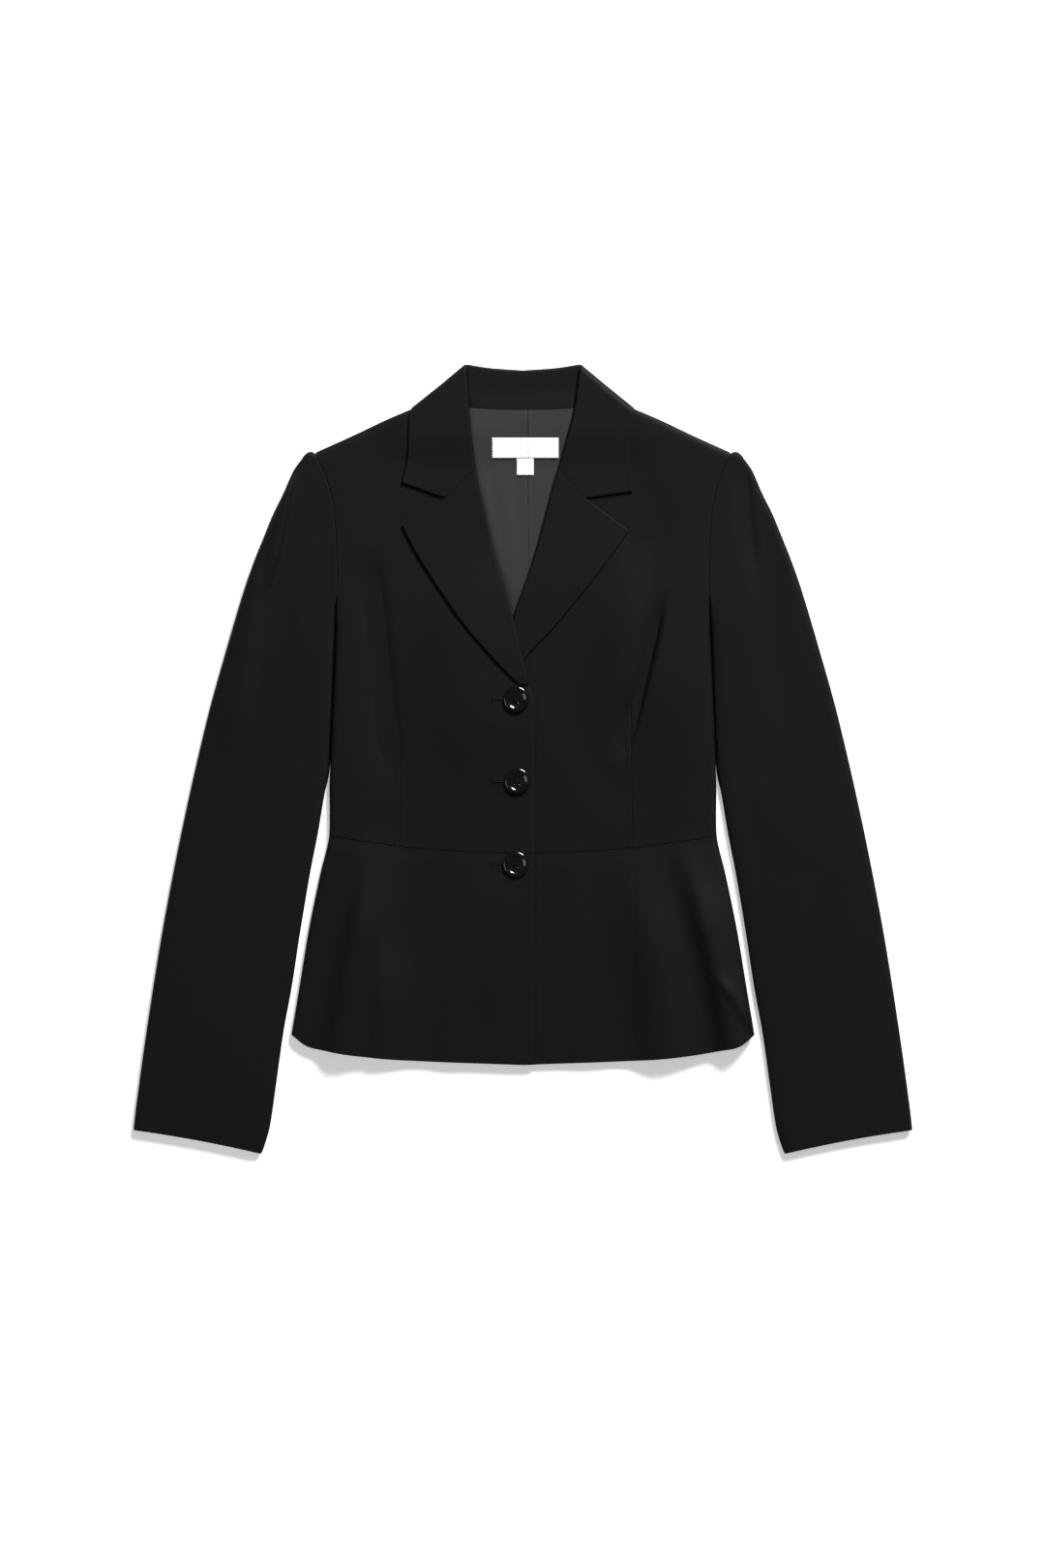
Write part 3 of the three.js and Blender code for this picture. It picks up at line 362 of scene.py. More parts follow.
def lap_rise(x, y):
    """The step of the right front over the left one."""
    return LAP_RISE * ease(x, -110, -27) * ease(y, 190, 120) + tail_rise(x, y)


def front_level(side):
    """The front over the back: loft and folds down to a little slack, then darts and fine creases."""
    def level(x, y):
        loft = np.maximum(-FRONT_SLACK, side_loft(x) + fold_height(FRONT_FOLDS, x, y))
        fine = fold_height(DARTS + FRONT_CREASES, x, y)
        lap = lap_rise(x, y) if side < 0 else 0
        return back_level(x, y) + FRONT_OVER_BACK + loft + fine + lap

    return level


def double_level(side):
    """Lapel and collar wing lie on the front."""
    front = front_level(side)
    return lambda x, y: front(x, y) + DOUBLE_OVER_FRONT


def sleeve_level(side):
    """The sleeve's upper half, a little flatter towards the cuff."""
    def level(x, y):
        folds = fold_height(SLEEVE_FOLDS[side] + SLEEVE_CREASES[side], x, y)
        return CLOTH / 2 + FRONT_OVER_BACK + SIDE_LOFT - CUFF_DROP * ease(y, 120, 0) + folds

    return level


def flat_at(height):
    """The level of a layer that lies flat at one height."""
    return lambda x, y: np.full(np.broadcast(x, y).shape, height)


def between(lower, upper, share):
    """Half way between two layers, each with half of the gap."""
    return lambda x, y: (lower(x, y) + upper(x, y)) / 2 + share * GAP / 2


table_level = flat_at(CLOTH / 2)

# %% [markdown]
# ## A wall of cloth
#
# One function makes every cloth piece. Four edges are blended into a grid, the grid is laid at its
# level, and where a piece turns over, as at a side seam, the last millimetres follow a quarter of
# an ellipse. The grid is then given its thickness to both sides and closed round its rim, and the
# rim is thinned so that it looks like the rolled edge of a seam.

# %% Points along a piece
SAMPLES = 3000


def spread(length, step, start=None, end=None, close=()):
    """Shares from 0 to 1: points a step apart, and closer at the start and the end, given as
    (reach, step), and near each (place, reach, step) in close.
    The density of points is summed along the length, and the sum is cut into equal parts."""
    finer = list(close)
    if start:
        finer.append((0, *start))
    if end:
        finer.append((length, *end))
    s = np.linspace(0, length, SAMPLES)
    density = np.full(s.shape, 1 / step)
    for place, reach, fine in finer:
        density += (1 / fine - 1 / step) * np.exp(-(((s - place) / reach) ** 2))
    parts = (density[1:] + density[:-1]) / 2 * np.diff(s)
    total = np.concatenate([[0], np.cumsum(parts)])
    return np.interp(np.linspace(0, total[-1], int(total[-1]) + 2), total, s) / length


def through(points, shares=None):
    """An edge drawn straight through points, spread evenly or at the given shares."""
    at = np.linspace(0, 1, len(points)) if shares is None else shares
    x, y = np.array(points, float).T
    return lambda t: np.array([np.interp(t, at, x), np.interp(t, at, y)])


def grid_between(edges, u, v):
    """The blend across plus the blend up, less the blend of the four corners."""
    low, high = edges.bottom(u)[:, None, :], edges.top(u)[:, None, :]
    near, far = edges.left(v)[:, :, None], edges.right(v)[:, :, None]
    s, t = u[None, None, :], v[None, :, None]
    corners = mix(mix(low[..., :1], low[..., -1:], s), mix(high[..., :1], high[..., -1:], s), t)
    return mix(low, high, t) + mix(near, far, s) - corners


# %% The wall itself
def full(share):
    """All the way along an edge."""
    return np.ones_like(share)


Edges = namedtuple("Edges", "left right bottom top")
Turn = namedtuple("Turn", "side width to amount", defaults=[full])
Wall = namedtuple("Wall", "vertices faces uv area")
ROUND = 0.8
THIN_RIM = 0.25
UPRIGHT = 0.02
ON_EDGE = 1e-6
SEAM_WIDTH = 1.8
SEAM = 0.3


def quads(*corners):
    """Four-cornered faces from four grids of point numbers."""
    return np.stack(corners, -1).reshape(-1, 4)


def wall_faces(rows, columns):
    """The faces of two grids of points numbered row by row, and of the rim that joins them."""
    i = np.arange(rows * columns).reshape(rows, columns)
    upper = quads(i[:-1, :-1], i[:-1, 1:], i[1:, 1:], i[1:, :-1])
    loop = np.concatenate([i[0, :-1], i[:-1, -1], i[-1, :0:-1], i[:0:-1, 0]])
    after = np.roll(loop, -1)
    rim = quads(after, loop, loop + i.size, after + i.size)
    return np.concatenate([upper, upper[:, ::-1] + i.size, rim])


def signed_volume(vertices, faces):
    """Six times the volume inside: the sum of each triangle's box product with the zero point."""
    a, b, c, d = (vertices[faces[:, k]] for k in range(4))
    return np.sum(a * np.cross(b, c)) + np.sum(a * np.cross(c, d))


def wall(edges, level, thickness, u, v, turns=(), sunk=(), plain=(), lift=None):
    """A closed cloth wall over the grid between four edges.
    sunk has (side, depth, width) for each edge sewn down in a seam, and plain has (side, amount) for
    each edge pressed flat into the next piece, whose rim isn't rounded. lift raises it by u and v."""
    x, y = grid_between(edges, u, v)
    across, along = np.meshgrid(u, v)
    wide = np.hypot(*(edges.right(v) - edges.left(v)))[:, None]
    tall = np.hypot(*(edges.top(u) - edges.bottom(u)))[None, :]
    inside = {
        "left": across * wide,
        "right": (1 - across) * wide,
        "bottom": along * tall,
        "top": (1 - along) * tall,
    }
    z = level(x, y) + (lift(across, along) if lift else 0)
    upright = np.ones_like(z)
    square = dict.fromkeys(inside, 0)
    for side, depth, width in sunk:
        z = z - depth * (1 - smooth(inside[side] / width))
    for turn in turns:
        amount = turn.amount(along if turn.side in ("left", "right") else across)
        rest = 1 - np.clip(inside[turn.side] / turn.width, 0, 1)
        z = mix(z, turn.to(x, y), (1 - np.sqrt(1 - rest**2)) * amount)
        upright = np.where(inside[turn.side] < ON_EDGE, np.minimum(upright, 1 - amount), upright)
        square[turn.side] = ROUND * amount
    for side, amount in plain:
        square[side] = ROUND * amount(along if side in ("left", "right") else across)

    middle = np.stack([x, y, z], -1)
    cross = np.cross(np.gradient(middle, axis=1), np.gradient(middle, axis=0))
    beside, above = middle[:-1, 1:] - middle[:-1, :-1], middle[1:, :-1] - middle[:-1, :-1]
    area = np.linalg.norm(np.cross(beside, above), axis=-1).sum()
    normal = cross * np.where(cross[..., 2:] < 0, -1, 1)
    normal[..., 2] *= np.maximum(upright, UPRIGHT)
    normal /= np.linalg.norm(normal, axis=-1, keepdims=True)
    edge = np.minimum.reduce([inside[side] + square[side] for side in inside])
    rounding = np.sqrt(1 - (1 - np.clip(edge / ROUND, 0, 1)) ** 2)
    half = normal * thickness / 2 * np.maximum(rounding, THIN_RIM)[..., None]

    vertices = np.concatenate([middle + half, middle - half]).reshape(-1, 3)
    faces = wall_faces(*z.shape)
    if signed_volume(vertices, faces) < 0:
        faces = faces[:, ::-1]
    uv = np.tile(np.stack([inside["left"], inside["bottom"]], -1).reshape(-1, 2), (2, 1)) * MM
    return Wall(vertices, faces, uv, area * MM * MM)


def joined(walls):
    """Several walls as the shells of one piece."""
    starts = np.cumsum([0] + [len(w.vertices) for w in walls])
    faces = [w.faces + start for w, start in zip(walls, starts)]
    return Wall(
        np.concatenate([w.vertices for w in walls]),
        np.concatenate(faces),
        np.concatenate([w.uv for w in walls]),
        sum(w.area for w in walls),
    )


# %% [markdown]
# ## Materials
#
# The suiting is a matt black wool blend in a fine plain weave, the lining a grey acetate satin,
# the label a white woven ribbon and the buttons polished horn-look resin. Each material starts
# from its colour in daylight and from how it was made. The weave is finer than a pixel here, so it
# is drawn at about twice its size, enough to break the light as cloth does.

# %% Node helpers
WAVE = 0.314


def linear(code):
    """A hex colour as seen on screen, turned into linear light."""
    parts = np.array([int(code[i:i + 2], 16) for i in (1, 3, 5)]) / 255
    value = np.where(parts <= 0.04045, parts / 12.92, ((parts + 0.055) / 1.055) ** 2.4)
    return (*value, 1)


def add_node(material, kind, settings=(), inputs=(), links=()):
    """Adds a node, sets its properties and input values, and links inputs to other nodes' outputs."""
    node = material.node_tree.nodes.new(kind)
    for name, value in dict(settings).items():
        setattr(node, name, value)
    for name, value in dict(inputs).items():
        node.inputs[name].default_value = value
    for name, output in dict(links).items():
        material.node_tree.links.new(output, node.inputs[name])
    return node


def shader_of(material):
    """The one shader of a material."""
    return material.node_tree.nodes["Principled BSDF"]


def new_material(name, **values):
    """A material whose shader's sockets are set by name."""
    material = bpy.data.materials.new(name)
    material.use_nodes = True
    for socket, value in values.items():
        shader_of(material).inputs[socket.replace("_", " ")].default_value = value
    return material


def add_bump(material, height, distance, below=None):
    """Bends the light by a height in millimetres, on top of another bump if there is one."""
    links = {"Height": height}
    if below is not None:
        links["Normal"] = below
    inputs = {"Strength": 1, "Distance": distance * MM}
    node = add_node(material, "ShaderNodeBump", inputs=inputs, links=links)
    material.node_tree.links.new(node.outputs["Normal"], shader_of(material).inputs["Normal"])
    return node.outputs["Normal"]


def woven(material, pitch, height, mottle, mottle_height):
    """Threads a pitch apart both ways along the cloth's own coordinates, on an uneven soft surface.
    A wave of scale 1 repeats every 0.314 units, and half that scale draws it twice as wide."""
    place = add_node(material, "ShaderNodeTexCoord").outputs["UV"]
    fuzz = add_node(
        material, "ShaderNodeTexNoise", inputs={"Scale": 1 / (mottle * MM), "Detail": 4, "Roughness": 0.6},
        links={"Vector": place},
    )
    normal = add_bump(material, fuzz.outputs["Fac"], mottle_height)
    scale = WAVE / (pitch * MM) / 2
    for direction in ("X", "Y"):
        threads = add_node(
            material, "ShaderNodeTexWave", settings={"bands_direction": direction},
            inputs={"Scale": scale, "Distortion": 1.5, "Detail": 2, "Detail Scale": 1},
            links={"Vector": place},
        )
        normal = add_bump(material, threads.outputs["Fac"], height, normal)


# %% The four finishes
suiting = new_material(
    "matt black wool blend suiting",
    Base_Color=linear("#0e0e0e"), Roughness=0.62, Specular_IOR_Level=0.09,
)
woven(suiting, pitch=0.7, height=0.02, mottle=2.5, mottle_height=0.09)

lining = new_material(
    "grey acetate satin lining",
    Base_Color=linear("#2f2f2f"), Roughness=0.42, Specular_IOR_Level=0.3, Anisotropic=0.4,
)
woven(lining, pitch=0.6, height=0.01, mottle=9, mottle_height=0.15)

ribbon = new_material(
    "white woven label", Base_Color=linear("#f0f0ee"), Roughness=0.6, Specular_IOR_Level=0.3,
)
woven(ribbon, pitch=0.6, height=0.04, mottle=4, mottle_height=0.05)

resin = new_material(
    "polished horn-look resin",
    Base_Color=linear("#050505"), Roughness=0.14, Specular_IOR_Level=0.5, Coat_Weight=0.3,
    Coat_Roughness=0.04,
)

thread = new_material(
    "black polyester thread", Base_Color=linear("#0e0e0e"), Roughness=0.7, Specular_IOR_Level=0.1,
)
white_thread = new_material(
    "grey-white thread", Base_Color=linear("#c9c9c6"), Roughness=0.6, Sheen_Weight=0.2,
)
print("materials", [m.name for m in bpy.data.materials])

# %% [markdown]
# ## Making an object
#
# A wall becomes an object at the origin with its place in the mesh. It rides on the jacket's one
# body and stands in for its CAD node, and the size of its cut is printed beside its cloth's area.

# %% Objects from points and faces
SHARP_FROM = 38
FINISH = {"suiting": suiting, "lining": lining, "label": ribbon}


def new_piece(name, vertices, faces, material):
    """A smooth-shaded object from points in the drawing's millimetres."""
    placed = (vertices - np.array([0, CENTRE_Y, 0])) * MM
    mesh = bpy.data.meshes.new(name)
    mesh.from_pydata(placed.tolist(), [], faces)
    mesh.materials.append(material)
    mesh.shade_smooth()
    piece = bpy.data.objects.new(name, mesh)
    bpy.context.scene.collection.objects.link(piece)
    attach(piece, "root")
    return piece


def cloth_piece(node, made, flat, slot="suiting"):
    """The finished cloth of one CAD node; the flat size of its cut in metres is printed with its area."""
    piece = new_piece(node + "_cloth", made.vertices, made.faces.tolist(), FINISH[slot])
    mesh = piece.data
    corner = np.empty(len(mesh.loops), np.int32)
    mesh.loops.foreach_get("vertex_index", corner)
    mesh.uv_layers.new(name="cloth").data.foreach_set("uv", made.uv[corner].ravel())
    mesh.set_sharp_from_angle(angle=math.radians(SHARP_FROM))
    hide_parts(node)
    whole = round(flat[0] * flat[1], 4)
    print(node, len(made.faces), "faces, cut area", round(made.area, 4), "of", whole)


# %% [markdown]
# ## The back
#
# The back lies on the table, whole from the shoulders to the waist seam, with a flared peplum sewn
# to it. At the sides it turns up to meet the front, and above the underarm it ends in the armhole.

# %% Edges that several pieces share
NECK_CORNER = 51.5
SHOULDER_CORNER = 56
LINING_INSET = 9
SHOULDER_TIP_X = body_edge_x(SHOULDER_TIP_Y)


def up_edge(low_y, high_y, x_at):
    """An edge up the garment between two y, with its x from a curve of y."""
    def edge(v):
        y = mix(low_y, high_y, v)
        return np.array([x_at(y), y])

    return edge


def across_edge(x1, x2, y_at):
    """An edge across the garment between two x, with its y from a curve of x."""
    def edge(u):
        x = mix(x1, x2, u)
        return np.array([x, y_at(x)])

    return edge


def framed(left, right, bottom_y, top_y):
    """Two sides, and curves of x from one side to the other."""
    bottom = across_edge(left(0.0)[0], right(0.0)[0], bottom_y)
    top = across_edge(left(1.0)[0], right(1.0)[0], top_y)
    return Edges(left, right, bottom, top)


def below_arm(y):
    """From the armhole seam, 0, to the turned side below it, 1."""
    return ease(y, UNDERARM_Y + 16, UNDERARM_Y - 16)


def side_x(side):
    """The cloth's middle along the side of the body, just inside the outline."""
    return lambda y: side * (body_edge_x(y) - mix(GAP / 2, CLOTH / 2, below_arm(y)))


def skirt_x(side):
    """The same down the peplum, which is turned all the way."""
    return lambda y: side * (body_edge_x(y) - CLOTH / 2)


def bodice_waist_y(x):
    """The bodice's edge in the waist seam, a little below the seam line so that it is closed."""
    return waist_y(x) - SEAM / 2


def skirt_waist_y(x):
    """The peplum's edge in the waist seam, as much above the line."""
    return waist_y(x) + SEAM / 2


def sewn_shoulder_y(x):
    """The cloth's middle at the shoulder."""
    return shoulder_y(x) - CLOTH / 2


def back_top_y(x):
    """A shallow neck curve between two sloping shoulders."""
    corner = np.clip((np.abs(x) - NECK_CORNER) / (SHOULDER_CORNER - NECK_CORNER), 0, 1)
    return mix(neck_y(x) - GAP / 2, sewn_shoulder_y(x), corner)


# %% Back bodice and back peplum
BACK_STEP = 5
BACK_HEIGHT = 400
BACK_SKIRT_HEIGHT = 185
NECK_COLUMN = 53


def back_bodice():
    """The back from the waist seam to the shoulders."""
    ends = bodice_waist_y(SIDE_X), sewn_shoulder_y(SHOULDER_TIP_X)
    left, right = (up_edge(*ends, side_x(side)) for side in (-1, 1))
    low = right(0.0)[0]
    edges = framed(left, right, bodice_waist_y, back_top_y)
    meet = between(back_level, front_level(1), -1)
    sides = lambda v: below_arm(right(v)[1])
    shoulders = lambda u: ease(np.abs(edges.top(u)[0]), NECK_CORNER, NECK_CORNER + SIDE_TURN)
    turns = [
        Turn("left", SIDE_TURN, meet, sides),
        Turn("right", SIDE_TURN, meet, sides),
        Turn("top", SIDE_TURN, meet, shoulders),
    ]
    neck = [(low - NECK_COLUMN, 5, 1), (low + NECK_COLUMN, 5, 1)]
    u = spread(2 * low, BACK_STEP, (4, 0.6), (4, 0.6), neck)
    v = spread(BACK_HEIGHT, BACK_STEP, (3, 0.6), (4, 0.6))
    return wall(edges, back_level, CLOTH, u, v, turns, sunk=[("bottom", 0.2, SEAM_WIDTH)])


def back_peplum():
    """The flared skirt of the back."""
    ends = SIDE_HEM_Y, skirt_waist_y(SIDE_X)
    left, right = (up_edge(*ends, skirt_x(side)) for side in (-1, 1))
    edges = framed(left, right, hem_y, skirt_waist_y)
    meet = between(back_level, front_level(1), -1)
    turns = [Turn("left", SIDE_TURN, meet), Turn("right", SIDE_TURN, meet)]
    u = spread(2 * right(0.0)[0], BACK_STEP, (4, 0.6), (4, 0.6))
    v = spread(BACK_SKIRT_HEIGHT, BACK_STEP, (3, 0.6), (3, 0.6))
    return wall(edges, back_level, CLOTH, u, v, turns, sunk=[("top", 0.2, SEAM_WIDTH)])


cloth_piece("back_bodice", back_bodice(), (0.375, 0.42))
cloth_piece("back_peplum", back_peplum(), (0.42, 0.21))

# %% [markdown]
# ## The lining
#
# The lining shows only in the neck opening. Linings are cut with a pleat down the middle of the
# back for ease, and that fold is the dark line under the label.

# %% Back lining
LINING_HEIGHT = 545
SHOWN_HEIGHT = 480


def lining_top_y(x):
    """The neck seam, and under the shoulders a line inside them."""
    neck = neck_y(x) - GAP / 2
    return np.where(np.abs(x) < SHOULDER_CORNER, neck, np.minimum(neck, shoulder_y(x) - LINING_INSET))


def lining_back():
    """The lining from the neck seam to above the hem, clear of the turned edges."""
    high = body_edge_x(SHOULDER_TIP_Y - LINING_INSET) - LINING_INSET
    ends = SIDE_HEM_Y + LINING_ABOVE_HEM, lining_top_y(high)
    left = up_edge(*ends, lambda y: LINING_INSET - body_edge_x(y))
    right = up_edge(*ends, lambda y: body_edge_x(y) - LINING_INSET)
    low = right(0.0)[0]
    bottom = across_edge(-low, low, lambda x: hem_y(x) + LINING_ABOVE_HEM)
    top = across_edge(-high, high, lining_top_y)
    pleat = LINING_FOLDS[0].x1 / high * low + low
    u = spread(2 * low, 4, close=[(low, 45, 2), (pleat, 2.5, 0.3)])
    v = spread(LINING_HEIGHT, 5, close=[(SHOWN_HEIGHT, 110, 3)])
    return wall(Edges(left, right, bottom, top), lining_level, LINING, u, v, plain=[("top", full)])


cloth_piece("lining_back", lining_back(), (0.42, 0.6), "lining")

# %% [markdown]
# ## The fronts
#
# Each front has a dart that takes in the waist, so the cloth stands full over the bust and the
# sewn line lies in a valley. The right front laps over the left with a pressed edge. Under the
# lapel it ends at the roll line, where the lapel turns back.

# %% Front bodices
COLLAR_SETBACK = 3.4
FRONT_PRESS = 2.6
SHOULDER_INNER_Y = 333
FRONT_WIDTH = 180
FRONT_HEIGHT = 405
DART_COLUMN = {-1: 118.5, 1: 110.3}
CREASE_COLUMN = {-1: 124, 1: 126}


def roll_turn(y):
    """Where the front's inner edge turns up into the lapel: between the break and the gorge."""
    return ease(y, BREAK_Y - 4, BREAK_Y + 4) * (1 - ease(y, 244, 256))


def free_edge(side):
    """The x of a front's free edge below the break."""
    return FRONT_EDGE if side < 0 else UNDER_EDGE


def front_inner_x(side, y):
    """The free front edge, which runs over into the roll line above the break."""
    setback = COLLAR_SETBACK * ease(y, 246, 258) + (CLOTH / 2 + GAP) * roll_turn(y)
    return mix(free_edge(side), roll_x(side, y) + side * setback, ease(y, 44, 60))


def front_bodice(side):
    """One front from the waist seam to the shoulder."""
    tip = side * (SHOULDER_TIP_X - GAP / 2)
    inner_top = front_inner_x(side, SHOULDER_INNER_Y)
    inner_low = free_edge(side)
    side_low = side * (body_edge_x(SIDE_WAIST_Y) - CLOTH / 2)
    inner_ends = bodice_waist_y(inner_low), sewn_shoulder_y(inner_top)
    inner = up_edge(*inner_ends, lambda y: front_inner_x(side, y))
    outer = up_edge(bodice_waist_y(SIDE_X), sewn_shoulder_y(tip), side_x(side))
    bottom = across_edge(inner_low, side_low, bodice_waist_y)
    top = across_edge(inner_top, tip, sewn_shoulder_y)
    front = front_level(side)
    under_lapel = lambda x, y: front(x, y) + DOUBLE_OVER_FRONT / 2 - GAP
    meet = between(back_level, front, 1)
    turns = [
        Turn("left", LAPEL_TURN, under_lapel, lambda v: roll_turn(inner(v)[1])),
        Turn("right", SIDE_TURN, meet, lambda v: below_arm(outer(v)[1])),
        Turn("top", SIDE_TURN, meet),
    ]
    sharp = [(DART_COLUMN[side], 3, 0.35), (CREASE_COLUMN[side], 14, 1)]
    u = spread(FRONT_WIDTH, 2.1, (2, 0.4), (4, 0.6), sharp)
    v = spread(FRONT_HEIGHT, 2.3, (2, 0.4), (4, 0.6))
    sunk = [("bottom", 0.1, SEAM_WIDTH), ("right", 0.25, SEAM_WIDTH)]
    if side < 0:
        sunk.append(("left", 0.4, FRONT_PRESS))
    return wall(Edges(inner, outer, bottom, top), front, CLOTH, u, v, turns, sunk)


FRONT_CUT = (0.225, 0.43)
cloth_piece("front_bodice_left", front_bodice(1), FRONT_CUT)
cloth_piece("front_bodice_right", front_bodice(-1), FRONT_CUT)

# %% [markdown]
# ## The peplum
#
# The front skirts are cut wider at the hem than at the waist, and the extra width falls in soft
# folds that start below the seam and run out over the hem.

# %% Front peplums
PEPLUM_STEP = 14
SKIRT_WIDTH = 205
SKIRT_HEIGHT = 190


def front_peplum(side):
    """One front skirt from the hem to the waist seam."""
    inner = free_edge(side)
    low = side * (body_edge_x(SIDE_HEM_Y) - CLOTH / 2)
    high = side * (body_edge_x(SIDE_WAIST_Y) - CLOTH / 2)
    edges = Edges(
        through([(inner, hem_y(inner)), (inner, skirt_waist_y(inner))]),
        up_edge(SIDE_HEM_Y, skirt_waist_y(SIDE_X), skirt_x(side)),
        across_edge(inner, low, hem_y),
        across_edge(inner, high, skirt_waist_y),
    )
    front = front_level(side)
    turns = [Turn("right", SIDE_TURN, between(back_level, front, 1))]
    u = spread(SKIRT_WIDTH, 2.1, (2, 0.4), (4, 0.6))
    v = spread(SKIRT_HEIGHT, 2.3, (2, 0.4), (2, 0.4))
    return wall(edges, front, CLOTH, u, v, turns, [("top", 0.4, PEPLUM_STEP)], [("top", full)])


SKIRT_CUT = (0.235, 0.215)
cloth_piece("front_peplum_left", front_peplum(1), SKIRT_CUT)
cloth_piece("front_peplum_right", front_peplum(-1), SKIRT_CUT)

# %% [markdown]
# ## Lapels and collar
#
# The lapel is the front turned back on itself with its facing, and the collar is sewn to it at the
# gorge, with the notch between them. Both are cloth on cloth, so they are thicker, their edges
# stand a little off the front, and they cast the only strong shadow of the jacket.

# %% Lapels
NOTCH_SHARE = 0.5
GORGE_SEAM = 0.04
LAPEL_WIDTH = 75
LAPEL_HEIGHT = 195


def gorge(side, move, stop):
    """The gorge seam from the roll line through the notch to a last point, moved by half a gap."""
    start_x = roll_x(side, GORGE_Y) + side * DOUBLE / 2
    points = np.array([(start_x, GORGE_Y), NOTCH[side], stop]) + [0, move]
    return through(points, [0, NOTCH_SHARE, 1])


def sewn_gorge(share):
    """The part of the gorge that is sewn, up to the notch."""
    return (share < NOTCH_SHARE).astype(float)


def rolled_x(side):
    """The doubled cloth's middle beside the roll line."""
    return lambda y: roll_x(side, y) + side * DOUBLE / 2


def lapel(side):
    """One lapel from the break to the gorge, between the roll line and its outer edge."""
    rows = LAPEL_EDGE[side]
    peak_y, peak_x = rows[0]
    inner = up_edge(BREAK_Y, GORGE_Y - GAP / 2, rolled_x(side))
    outer = up_edge(BREAK_Y, peak_y - GAP / 2, graph(rows))
    foot = through([inner(0.0), outer(0.0)])
    edges = Edges(inner, outer, foot, gorge(side, -GORGE_SEAM / 2, (peak_x, peak_y)))
    front = front_level(side)
    over_front = lambda x, y: front(x, y) + DOUBLE_OVER_FRONT / 2 + GAP
    turns = [Turn("left", LAPEL_TURN, over_front)]
    lift = lambda u, v: EDGE_LIFT * u * u * ease(v, 0.2, 0.5)
    u = spread(LAPEL_WIDTH, 1.8, (2, 0.3), (2, 0.4))
    v = spread(LAPEL_HEIGHT, 1.8, (1, 0.4), (1.5, 0.4))
    sunk = [("bottom", 0.6, 8)]
    return wall(edges, double_level(side), DOUBLE, u, v, turns, sunk, [("top", sewn_gorge)], lift)


for side, word in SIDES.items():
    cloth_piece(f"lapel_{word}", lapel(side), (0.1, 0.205))

# %% The collar: two wings, the fall behind the neck and the stand inside it
STAND_LEVEL = 5.2
STAND_REACH = 1.4
FALL_LEVEL = DOUBLE / 2
FALL_INSET = 0.4
WING_BEND = (75, 335.2)
WING_WIDTH = 65
WING_HEIGHT = 90
FALL_WIDTH = 200
FALL_HEIGHT = 48
STAND_WIDTH = 96
STAND_HEIGHT = 36


def over_top(side, share):
    """Half way from the fall under the back to the wing over the front."""
    upper = double_level(side)
    return lambda x, y: mix(FALL_LEVEL, upper(x, y), 0.5) + share * GAP


def collar_wing(side):
    """One wing from the gorge up over the shoulder."""
    rows = WING_EDGE[side]
    corner_y, corner_x = rows[-1]
    shoulder_end_y = rows[0][0] - DOUBLE / 2
    inner = up_edge(GORGE_Y + GAP / 2, COLLAR_TOP_Y - DOUBLE / 2, rolled_x(side))
    outer = up_edge(corner_y + GAP / 2, shoulder_end_y, graph(rows))
    bend_x, bend_y = WING_BEND
    over_shoulder = through([inner(1.0), (side * bend_x, bend_y), outer(1.0)])
    edges = Edges(inner, outer, gorge(side, GORGE_SEAM / 2, (corner_x, corner_y)), over_shoulder)
    level, front = double_level(side), front_level(side)
    into_stand = lambda x, y: mix(front(x, y), STAND_LEVEL + 0.6, ease(y, 317, 325))
    turns = [
        Turn("left", COLLAR_TURN, into_stand),
        Turn("top", SIDE_TURN, over_top(side, -1)),
    ]
    lift = lambda u, v: EDGE_LIFT * u * u * (1 - smooth(1.3 * v))
    u = spread(WING_WIDTH, 1.8, (2, 0.3), (2, 0.4))
    v = spread(WING_HEIGHT, 1.8, (1.5, 0.4), (4, 0.6))
    return wall(edges, level, DOUBLE, u, v, turns, (), [("bottom", sewn_gorge)], lift)


def fall_side(side):
    """The fall's slanting end under the shoulder, just inside the wing."""
    y, x = WING_EDGE[side][0]
    low = (x - side * FALL_INSET, y - DOUBLE / 2 - FALL_INSET)
    high = (roll_x(side, COLLAR_TOP_Y) + side * 0.5, COLLAR_TOP_Y - DOUBLE / 2 - FALL_INSET)
    return through([low, high])


def collar_top_middle_y(x):
    """The middle of the doubled cloth at the collar's top edge."""
    return collar_top_y(x) - DOUBLE / 2


def collar_fall():
    """The fall lying under the back, from one wing over to the other."""
    edge_middle_y = lambda x: fall_edge_y(x) - DOUBLE / 2
    edges = framed(fall_side(-1), fall_side(1), edge_middle_y, collar_top_middle_y)
    level = flat_at(FALL_LEVEL)
    meet = lambda x, y: level(x, y) + (STAND_LEVEL - FALL_LEVEL) / 2 + GAP / 2
    turns = [
        Turn("left", SIDE_TURN, over_top(-1, 1)),
        Turn("right", SIDE_TURN, over_top(1, 1)),
        Turn("top", STAND_TURN, meet),
    ]
    u = spread(FALL_WIDTH, 5, (4, 0.7), (4, 0.7))
    v = spread(FALL_HEIGHT, 3, (1.5, 0.5), (1.5, 0.4))
    return wall(edges, level, DOUBLE, u, v, turns)


